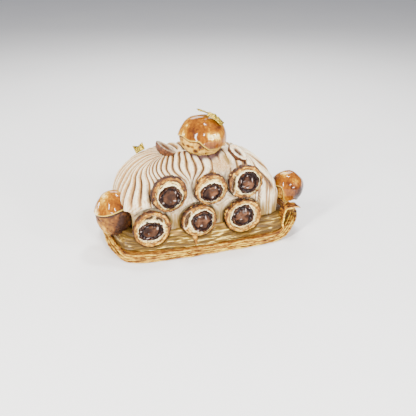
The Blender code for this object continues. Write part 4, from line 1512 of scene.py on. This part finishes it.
@dataclass
class CremePatissiere:
    """The custard: rippled folds that bulge forward under the choux and fill the pastry's ends."""

    pastry: PuffPastry
    halves: Four = (0.0860, 0.0520, 0.0930, 0.0510)
    powers: Four = (2.6, 2.6, 5.0, 7.0)
    columns: int = 620
    rows: int = 64
    levels: tuple[float, ...] = (0.0098, 0.0130, 0.0175, 0.0225, 0.0270)
    spreads: tuple[float, ...] = (0.0086, 0.0102, 0.0078, 0.0037, 0.0)
    top_steps: tuple[float, ...] = (0.97, 0.93, 0.88, 0.82, 0.75, 0.66)
    fold_depth: float = 0.0024
    gap: float = 0.0012
    pressed_y: float = -0.0450

    def folds(self, flat: Array) -> Array:
        """Return the relief of the folds.

        Args:
            flat: Points of the smooth edge.

        Returns:
            Values from 0 in the creases to 1 on the folds.
        """
        bend = 0.006 * grain(flat, (0.030, 0.030, 0.020), 21.0)
        bent = flat + points(bend, 0.0, bend * 0.35)
        fold = 1.0 - creases(bent, (0.030, 0.030, 0.0036), 22.0)
        fine = 1.0 - creases(bent, (0.015, 0.015, 0.0017), 23.0)
        return np.clip(0.68 * fold + 0.42 * fine - 0.05, 0.0, 1.0)

    def build(self) -> list[Piece]:
        """Build the custard.

        Returns:
            The new piece.
        """
        angle, _ = spaced_angles(self.columns, self.halves, self.powers)
        height = np.linspace(self.levels[0], self.levels[-1], self.rows)[:, None]
        reach = outline_reach(angle, self.halves, self.powers) + np.interp(height, self.levels, self.spreads)
        relief = self.folds(points(reach * np.cos(angle), reach * np.sin(angle), height))
        reach = reach + self.fold_depth * (relief - 0.6)
        reach = np.minimum(reach, self.pastry.inside(angle, height) - self.gap)
        side = points(reach * np.cos(angle), reach * np.sin(angle), height)
        top = []
        for step in self.top_steps:
            ring = side[-1] * np.array((step, step, 1.0))
            top.append(ring + UP * (0.0009 * ease(1.0, 0.9, step) * grain(ring, 0.006, 24.0))[:, None])
        spots = np.concatenate((side, np.stack(top)))
        folds = np.concatenate((relief, np.full((len(top), len(angle)), 0.55)))
        x, y, z = np.moveaxis(spots, -1, 0)
        nook = np.zeros(x.shape)
        for choux in CUT_CHOUX[3:]:
            near = choux.nearness(x, z, 0.0005)
            inside = ease(1.01, 0.95, near) * ease(-0.035, -0.042, y)
            y = np.maximum(y, y * (1.0 - inside) + self.pressed_y * inside)
            # Painted shade in the nook round each lower choux.
            nook = np.maximum(nook, bump_at(near, 1.0, 0.06))
        spots[..., 1] = y
        pale = ease(0.0225, 0.0275, z + 0.003 * grain(spots, (0.008, 0.02, 0.006), 25.0))
        milk = 0.30 * pale * ease(0.060, 0.040, np.abs(x)) * (1.0 - nook)
        # The shade darkens the folds: painted shade round the lower choux, and darker towards both ends and
        # along the top.
        shade = 0.55 * nook + 0.24 * ease(-0.066, -0.084, x) + 0.26 * ease(0.040, 0.060, x)
        shade = shade + 0.10 * ease(0.024, 0.027, z)
        sheet = Sheet(spots, {"fold": np.clip(folds - shade, 0.0, 1.0), "milk": milk})
        return [add_piece("custard_layer", [sheet], CREME, "creme_patissiere")]


@dataclass(frozen=True)
class GlazedChou:
    """A whole choux under caramel: its size, the caramel's axis and how far the caramel reaches.

    The line holds the caramel's reach at bearings round its axis, where the photograph shows it. The light
    and shade patches paint highlights and shade on the caramel, and the crust patches darken or lighten the
    bare crust.
    """

    name: str
    middle: Triple
    halves: Triple
    axis: Triple
    reach: float
    seed: int
    line: tuple[Pair, ...] = ()
    # Patches of painted highlight and painted shade on the caramel.
    light_and_shade_patches: tuple[Tone, ...] = ()
    tan: float = 0.20
    # Darker or lighter patches on the bare crust: blisters on the top choux, and on the left choux darker
    # towards the cake and lighter low on its left.
    crust_patches: tuple[Tone, ...] = ()
    rough: float = 0.05
    gap: float = 0.0005
    thick: float = 0.0011
    columns: int = 152
    rings: int = 88
    shell_columns: int = 176
    shell_rings: int = 48
    bead: tuple[Pair, ...] = (
        (0.955, 1.02), (0.97, 1.04), (0.982, 1.0), (0.991, 0.86), (0.997, 0.6), (1.0, 0.3), (0.998, 0.0),
        (0.97, -0.15), (0.8, -0.15), (0.5, -0.15), (0.15, -0.15),
    )

    def turned(self, polar: Array, around: Array) -> Array:
        """Return directions from angles measured from the caramel's axis."""
        turn = np.array(Vector(UP).rotation_difference(Vector(self.axis)).to_matrix())
        return points(np.sin(polar) * np.cos(around), np.sin(polar) * np.sin(around), np.cos(polar)) @ turn.T

    def skin(self, way: Array, lift: Array | float) -> Array:
        """Return points of the lumpy ball.

        Args:
            way: Directions from its middle.
            lift: Distances by which the points are moved outward.

        Returns:
            The points.
        """
        offset = np.array((7.3 * self.seed, 3.1 * self.seed, 5.7 * self.seed))
        swell = 1.0 + self.rough * grain(way * 1.9 + offset, 1.0)
        lifted = np.asarray(lift)[..., None] * way
        return np.array(self.middle) + way * np.array(self.halves) * swell[..., None] + lifted

    def edge(self, around: Array) -> Array:
        """Return how far the caramel reaches down.

        Args:
            around: Bearings round the caramel's axis.

        Returns:
            The angle from the axis at each bearing.
        """
        ring = circle(around, self.seed * 2.3) * np.array((1.6, 1.6, 1.0))
        edge = self.reach + 0.22 * grain(ring, 1.0)
        if self.line:
            bearings, reaches = (list(values) for values in zip(*self.line))
            start, end = bearings[0], bearings[-1]
            turned = start + np.mod(around - start, math.tau)
            seen = np.interp(turned, bearings + [start + math.tau], reaches + reaches[:1])
            hidden = ease(0.0, 0.5, np.minimum(turned - end, start + math.tau - turned))
            edge = seen * (1.0 - hidden) + edge * hidden
            for _ in range(4):
                edge = (np.roll(edge, 1, axis=-1) + 2.0 * edge + np.roll(edge, -1, axis=-1)) / 4.0
        return edge

    def patches(self, way: Array, light_and_shade_patches: Sequence[Tone]) -> Array:
        """Return the sum of soft patches.

        Args:
            way: Directions from the middle.
            light_and_shade_patches: The patches.

        Returns:
            The sum in each direction.
        """
        total = np.zeros(way.shape[:-1])
        for middle, width, amount in light_and_shade_patches:
            away = np.arccos(np.clip(way @ unit(np.array(middle)), -1.0, 1.0))
            total = total + amount * np.exp(-((away / width) ** 3))
        return total

    def crust_piece(self) -> Piece:
        """Build the baked ball, blistered and pitted where it is bare.

        Returns:
            The new piece.
        """
        polar = math.pi * (np.arange(self.rings) + 0.5) / self.rings
        polars, arounds = np.meshgrid(polar, turns(self.columns), indexing="ij")
        way = self.turned(polars, arounds)
        base = self.skin(way, 0.0)
        past = polars - self.edge(arounds)
        bare = ease(-0.05, 0.06, past)
        blister = creases(base, 0.0048, 51.0 + self.seed)
        pits = ease(0.40, 0.62, grain(base, 0.0024, 52.0 + self.seed) + 0.25 * grain(base, 0.008, 53.0))
        rough = 0.0006 * blister - 0.0009 * pits + 0.0003 * grain(base, 0.0012, 54.0)
        lift = bare * rough - 0.0003 * (1.0 - bare)
        tone = self.tan + 0.60 * pits + 0.34 * grain(base, 0.010, 55.0) + self.patches(way, self.crust_patches)
        # The dark band just below the caramel's edge is a painted shadow.
        sheet = Sheet(self.skin(way, lift), {"bake": tone + 0.70 * bump_at(past, 0.035, 0.030)})
        return add_piece(f"whole_choux_{self.name}", [sheet], CRUST, f"choux_{self.name}")

    def caramel_piece(self) -> Piece:
        """Build the caramel shell, with a bead along its edge.

        Returns:
            The new piece.
        """
        around = turns(self.shell_columns)
        edge = self.edge(around)
        rows, deep, rim = [], [], []
        steps = [(share, 1.0) for share in np.linspace(0.012, 0.94, self.shell_rings)]
        for share, height in steps + list(self.bead):
            way = self.turned(edge * share, around)
            outer = float(height > 0.0)
            bead = 0.0005 * outer * bump_at(share, 0.962, 0.030)
            waves = 0.00035 * grain(way, 0.5, 56.0 + self.seed) * max(height, 0.0)
            rows.append(self.skin(way, self.gap + self.thick * height + bead + waves))
            # A random tone plus the patches of painted highlight and painted shade.
            deep.append(0.44 + 0.22 * grain(way, 0.6, 57.0 + self.seed) + self.patches(way, self.light_and_shade_patches))
            # Painted highlight along the bead.
            rim.append(np.full(len(around), 0.75 * outer * bump_at(share, 0.975, 0.018)))
        sheet = Sheet(np.stack(rows), {"deep": np.stack(deep), "rim": np.stack(rim)})
        return add_piece(f"caramel_shell_{self.name}", [sheet], CARAMEL, f"caramel_{self.name}")

    def build(self) -> list[Piece]:
        """Build the choux and its caramel."""
        return [self.crust_piece(), self.caramel_piece()]


# Each glazed choux lists its caramel line, its patches of painted highlight and painted shade, its crust tan
# and its crust patches.
GLAZED_CHOUX = (
    GlazedChou(
        "top", (0.0026, -0.0120, 0.1120), (0.0238, 0.0234, 0.0208), (0.30, -0.06, 1.00), 1.72, 11,
        (
            (-3.46, 1.87), (-2.83, 1.60), (-2.45, 1.70), (-2.23, 1.62), (-2.03, 1.55), (-1.81, 1.70),
            (-1.50, 1.87), (-1.22, 1.79), (-0.82, 1.68), (-0.53, 1.56),
        ),
        (
            ((-0.50, -0.74, 0.46), 0.44, 0.24), ((-0.42, -0.84, 0.30), 0.26, 0.14),
            ((-0.86, -0.34, 0.40), 0.16, -0.34), ((-0.88, -0.42, 0.20), 0.14, -0.34),
            ((-0.76, -0.24, 0.62), 0.16, -0.26), ((0.00, -0.92, 0.40), 0.12, -0.30),
            ((0.02, -0.97, 0.24), 0.15, -0.26), ((0.18, -0.96, 0.26), 0.20, -0.30),
            ((0.40, -0.88, 0.26), 0.20, -0.26), ((-0.96, -0.10, 0.20), 0.30, -0.20),
            ((0.30, -0.93, -0.25), 0.24, 0.10), ((0.85, -0.45, 0.10), 0.30, 0.25),
            ((0.45, -0.55, 0.70), 0.28, 0.30),
        ),
        0.06,
        (
            ((-0.94, -0.22, -0.24), 0.11, 0.80), ((-0.82, -0.54, -0.22), 0.10, 0.80),
            ((-0.68, -0.70, -0.22), 0.09, 0.75), ((-0.55, -0.72, -0.42), 0.12, 0.80),
            ((-0.39, -0.90, -0.17), 0.08, 0.70),
        ),
    ),
    GlazedChou(
        "left", (-0.0964, -0.0210, 0.0412), (0.0186, 0.0198, 0.0238), (-0.24, 0.10, 0.96), 1.26, 12,
        ((-3.04, 1.22), (-2.62, 1.25), (-2.19, 1.29), (-1.80, 1.29), (-1.28, 1.30), (-0.51, 1.48)),
        (
            ((0.50, -0.80, 0.40), 0.55, 0.50), ((-0.55, -0.20, 0.85), 0.30, -0.42),
            ((-0.96, -0.22, 0.18), 0.28, -0.50),
        ),
        0.64,
        (((0.35, -0.90, -0.20), 0.50, 0.42), ((-0.76, -0.30, -0.60), 0.46, -0.66)),
    ),
    GlazedChou(
        "right", (0.0952, -0.0300, 0.0492), (0.0162, 0.0162, 0.0158), (0.60, -0.25, 0.74), 1.72, 13,
        (
            (-3.87, 1.75), (-3.57, 2.00), (-3.36, 2.12), (-2.83, 1.87), (-2.46, 1.61), (-2.15, 1.79),
            (-1.85, 2.12),
            (-1.59, 2.24),
        ),
        (
            ((0.55, -0.72, -0.25), 0.66, 0.80), ((0.20, -0.90, 0.20), 0.80, 0.12),
            ((0.10, -0.80, 0.60), 0.26, -0.28), ((0.62, -0.74, 0.30), 0.14, -0.40),
            ((0.05, -0.99, 0.02), 0.22, -0.16), ((-0.30, -0.11, 0.95), 0.24, -0.40),
            ((-0.87, 0.11, 0.49), 0.34, 0.26),
        ),
        0.32,
    ),
    GlazedChou(
        "back_left", (-0.0520, 0.0550, 0.0370), (0.0180, 0.0178, 0.0182), (0.00, 0.35, 0.94), 1.50, 14,
    ),
    GlazedChou(
        "back_middle", (0.0050, 0.0580, 0.0370), (0.0182, 0.0178, 0.0180), (0.05, 0.40, 0.92), 1.50, 15,
    ),
    GlazedChou(
        "back_right", (0.0580, 0.0510, 0.0370), (0.0178, 0.0176, 0.0182), (0.10, 0.35, 0.93), 1.50, 16,
    ),
)


@dataclass(frozen=True)
class HalfHazelnut:
    """Half a hazelnut with its cut face turned outward."""

    name: str
    middle: Triple
    face: Triple
    long_axis: Triple
    tan: float = 1.45
    halves: Triple = (0.0120, 0.0094, 0.0090)
    hollow: Pair = (0.0056, 0.0038)
    hollow_depth: float = 0.0026
    columns: int = 96
    skin_rings: int = 30
    face_rings: int = 34

    def section(self, share: float, depth: float) -> Array:
        """Return a ring of the nut's own points, tapered towards its tip.

        Args:
            share: Size of the ring as a share of the nut's.
            depth: Height of the ring as a share of the nut's.

        Returns:
            The points.
        """
        around = turns(self.columns)
        across = share * np.cos(around)
        taper = 1.0 - 0.16 * np.maximum(across, 0.0)
        y = share * np.sin(around) * self.halves[1] * taper
        return points(across * self.halves[0], y, depth * self.halves[2])

    def build(self) -> list[Piece]:
        """Build the nut.

        Returns:
            The new piece.
        """
        normal = unit(np.array(self.face))
        length = np.array(self.long_axis)
        length = unit(length - normal * (length @ normal))
        rows, marks = [], []
        for polar in np.linspace(math.pi - 0.06, math.pi / 2, self.skin_rings):
            rows.append(self.section(math.sin(polar), math.cos(polar)))
            marks.append(np.zeros((3, self.columns)))
        for share in np.linspace(0.985, 0.03, self.face_rings):
            ring = self.section(share, 0.0)
            away = np.hypot(ring[:, 0] / self.hollow[0], ring[:, 1] / self.hollow[1])
            away = away + 0.22 * grain(ring, 0.003, 61.0 + ring[0, 0])
            ring[:, 2] += 0.0004 * bump_at(share, 0.90, 0.08) - self.hollow_depth * ease(1.15, 0.35, away)
            flesh = ease(0.965, 0.91, share + 0.05 * grain(ring, 0.0022, 62.0))
            rows.append(ring)
            marks.append(np.stack((flesh, ease(self.tan, 0.75, away), ease(0.85, 0.35, away))))
        local = np.stack(rows)
        flesh, hollow, core = np.stack(marks, axis=1)
        local += (0.00035 * (1.0 - flesh) * grain(local, 0.0016, 63.0))[..., None]
        spots = np.array(self.middle) + local @ np.stack((length, np.cross(normal, length), normal))
        sheet = Sheet(spots, {"flesh": flesh, "hollow": hollow, "core": core})
        return [add_piece(f"half_hazelnut_{self.name}", [sheet], HAZELNUT, f"hazelnut_{self.name}")]


HAZELNUTS = (
    HalfHazelnut("left", (-0.0371, -0.0140, 0.1047), (0.520, -0.099, 0.853), (0.724, -0.480, -0.499), 3.50),
    HalfHazelnut("right", (0.0368, -0.0285, 0.0958), (0.440, -0.408, 0.800), (0.627, -0.497, -0.598)),
)


def leaf_piece(name: str, upper: Array, down: Array) -> Piece:
    """Build a thin leaf of gold from the points of its upper side.

    Args:
        name: Last word of its name.
        upper: Points of the upper side, in rows and columns.
        down: Offset of the lower side.

    Returns:
        The new piece.
    """
    loops = np.concatenate((upper, (upper + down)[:, ::-1]), axis=1)
    return add_piece(f"gold_foil_{name}", [Sheet(loops)], GOLD, f"gold_leaf_{name}")


@dataclass(frozen=True)
class GoldStrip:
    """A crumpled strip of gold leaf over the caramel of the top choux: the spike or the drape."""

    name: str
    start: float
    stop: float
    turn: float
    half_width: float
    first_lift: float
    last_lift: float
    seed: float
    thick: float = 0.0003
    down: Triple = (-0.30, 0.10, -0.95)
    rows: int = 16
    columns: int = 34

    def build(self) -> list[Piece]:
        """Build the strip.

        Returns:
            The new piece.
        """
        choux = GLAZED_CHOUX[0]
        across, ahead = np.linspace(-1.0, 1.0, self.rows), np.linspace(0.0, 1.0, self.columns)
        row, column = np.meshgrid(across, ahead, indexing="ij")
        down = self.start + (self.stop - self.start) * column
        way = points(np.sin(down) * math.cos(self.turn), np.sin(down) * math.sin(self.turn), np.cos(down))
        side = np.array((-math.sin(self.turn), math.cos(self.turn), 0.0))
        place = points(column * 4.0, row * 2.0, self.seed)
        ragged = 1.0 + 0.55 * grain(place, (1.0, 9.0, 1.0)) + 0.3 * grain(place, (0.3, 9.0, 1.0), 2.0)
        way = unit(way + side * (self.half_width * ragged * row / choux.halves[0])[..., None])
        crumple = 0.0013 * (0.7 + creases(place, 0.9, 3.0)) + 0.0005 * grain(place, 0.25, 4.0)
        lift = choux.gap + choux.thick + self.thick + crumple
        lift = lift + self.first_lift + (self.last_lift - self.first_lift) * column
        return [leaf_piece(self.name, choux.skin(way, lift), np.array(self.down) * self.thick)]


GOLD_STRIPS = (
    GoldStrip("spike", 0.30, -0.16, 0.10, 0.0026, 0.0004, 0.0058, 1.0),
    GoldStrip("drape", 0.22, 0.92, -0.62, 0.0042, 0.0030, 0.0006, 2.0),
)


@dataclass(frozen=True)
class GoldScrap:
    """The small spiky scrap of gold leaf that stands on the cream."""

    middle: Triple = (-0.0580, 0.0180, 0.0900)
    down: Triple = (0.35, -0.30, -0.89)
    thick: float = 0.0003

    def build(self) -> list[Piece]:
        """Build the scrap.

        Returns:
            The new piece.
        """
        dome = Dome()
        row, column = np.meshgrid(np.linspace(-1.5, 1.5, 15), np.linspace(0.0, 5.0, 26), indexing="ij")
        spots = dome.onto(np.array(self.middle) + points(0.0027 * (column - 2.5), 0.0018 * row, 0.0))
        spikes = 0.0034 * (bump_at(column, 0.0, 0.5) + bump_at(column, 5.0, 0.5))
        spikes = spikes + 0.0022 * bump_at(column, 3.0, 0.5)
        waves = grain(points(column * 1.3, row * 1.4, 4.0), 0.8, 5.0)
        lift = 0.0030 + (0.0042 + 0.0016 * waves + 1.2 * spikes) * (row + 1.5) / 3.0
        upper = spots + dome.normals(spots) * lift[..., None]
        return [leaf_piece("scrap", upper, np.array(self.down) * self.thick)]


@dataclass(frozen=True)
class StudioLight:
    """One soft area light."""

    name: str
    place: Triple
    size: Pair
    power: float
    target: Triple = (0.0, 0.0, 0.06)
    colour: Triple = (1.0, 0.98, 0.95)

    def build(self) -> None:
        """Add the light."""
        lamp = bpy.data.lights.new(self.name, "AREA")
        lamp.shape = "RECTANGLE"
        lamp.size, lamp.size_y = self.size
        lamp.energy = self.power
        lamp.color = self.colour
        item = bpy.data.objects.new(self.name, lamp)
        item.location = self.place
        item.rotation_euler = (Vector(self.place) - Vector(self.target)).to_track_quat("Z", "Y").to_euler()
        bpy.context.scene.collection.objects.link(item)


@dataclass
class Studio:
    """The floor, the lights, the sky and the camera."""

    lens: float = 57.0
    azimuth: float = -18.0
    elevation: float = 25.0
    distance: float = 0.70
    target: Triple = (-0.003, -0.025, 0.055)
    shift: Pair = (7 / 416, -17 / 416)
    sky: Triple = (0.90, 0.91, 1.0)
    sky_strength: float = 0.36
    floor_half: float = 6.0
    floor_level: float = -0.0002
    lights: tuple[StudioLight, ...] = (
        StudioLight("key", (-0.72, -0.52, 0.62), (0.08, 0.60), 22.0, colour=(1.0, 0.97, 0.92)),
        StudioLight("front", (-0.03, -0.86, 0.62), (0.12, 0.12), 7.5),
        StudioLight("right_glint", (0.55, -0.72, 0.55), (0.11, 0.11), 5.5),
        StudioLight("low_front", (0.36, -0.87, 0.16), (0.22, 0.06), 5.0, (0.0, 0.0, 0.08), (1.0, 0.99, 0.97)),
        StudioLight("top", (0.24, 0.14, 0.92), (0.18, 0.12), 7.0),
        StudioLight("left_rim", (-0.72, 0.46, 0.16), (0.08, 0.26), 4.0, (0.0, 0.0, 0.08)),
        StudioLight("fill", (0.70, -0.60, 0.45), (0.50, 0.50), 1.5, colour=(0.94, 0.95, 1.0)),
        StudioLight("back", (0.20, 0.60, 0.60), (0.60, 0.30), 6.0),
    )

    def build(self) -> None:
        """Build all of it."""
        self.floor()
        for light in self.lights:
            light.build()
        world = bpy.data.worlds.new("soft_sky")
        world.use_nodes = True
        background = world.node_tree.nodes["Background"]
        background.inputs["Color"].default_value = (*self.sky, 1.0)
        background.inputs["Strength"].default_value = self.sky_strength
        bpy.context.scene.world = world
        self.camera()

    def floor(self) -> None:
        """Add the floor."""
        half = self.floor_half
        mesh = bpy.data.meshes.new("floor")
        corners = [(-half, -half, 0.0), (half, -half, 0.0), (half, half, 0.0), (-half, half, 0.0)]
        mesh.from_pydata(corners, [], [(0, 1, 2, 3)])
        mesh.materials.append(FLOOR.material())
        floor = bpy.data.objects.new("floor", mesh)
        floor.location.z = self.floor_level
        bpy.context.scene.collection.objects.link(floor)

    def camera(self) -> None:
        """Add the camera at the photograph's angle."""
        turn, rise = math.radians(self.azimuth), math.radians(self.elevation)
        back = Vector((math.sin(turn) * math.cos(rise), -math.cos(turn) * math.cos(rise), math.sin(rise)))
        lens = bpy.data.cameras.new("camera")
        lens.lens = self.lens
        lens.sensor_width = 36.0
        lens.shift_x, lens.shift_y = self.shift
        camera = bpy.data.objects.new("camera", lens)
        camera.location = Vector(self.target) + back * self.distance
        camera.rotation_euler = back.to_track_quat("Z", "Y").to_euler()
        bpy.context.scene.collection.objects.link(camera)
        bpy.context.scene.camera = camera


def main() -> None:
    """Build the studio and the whole cake, and report each piece."""
    logging.basicConfig(level=logging.INFO, format="%(message)s")
    Studio().build()
    pastry = PuffPastry()
    base = (pastry, CremePatissiere(pastry), WhippedCream())
    for part in (*base, *CUT_CHOUX, *GLAZED_CHOUX, *HAZELNUTS, *GOLD_STRIPS, GoldScrap()):
        for piece in part.build():
            LOG.info("%s: %d faces", piece.name, len(piece.data.polygons))


if __name__ == "__main__":
    main()
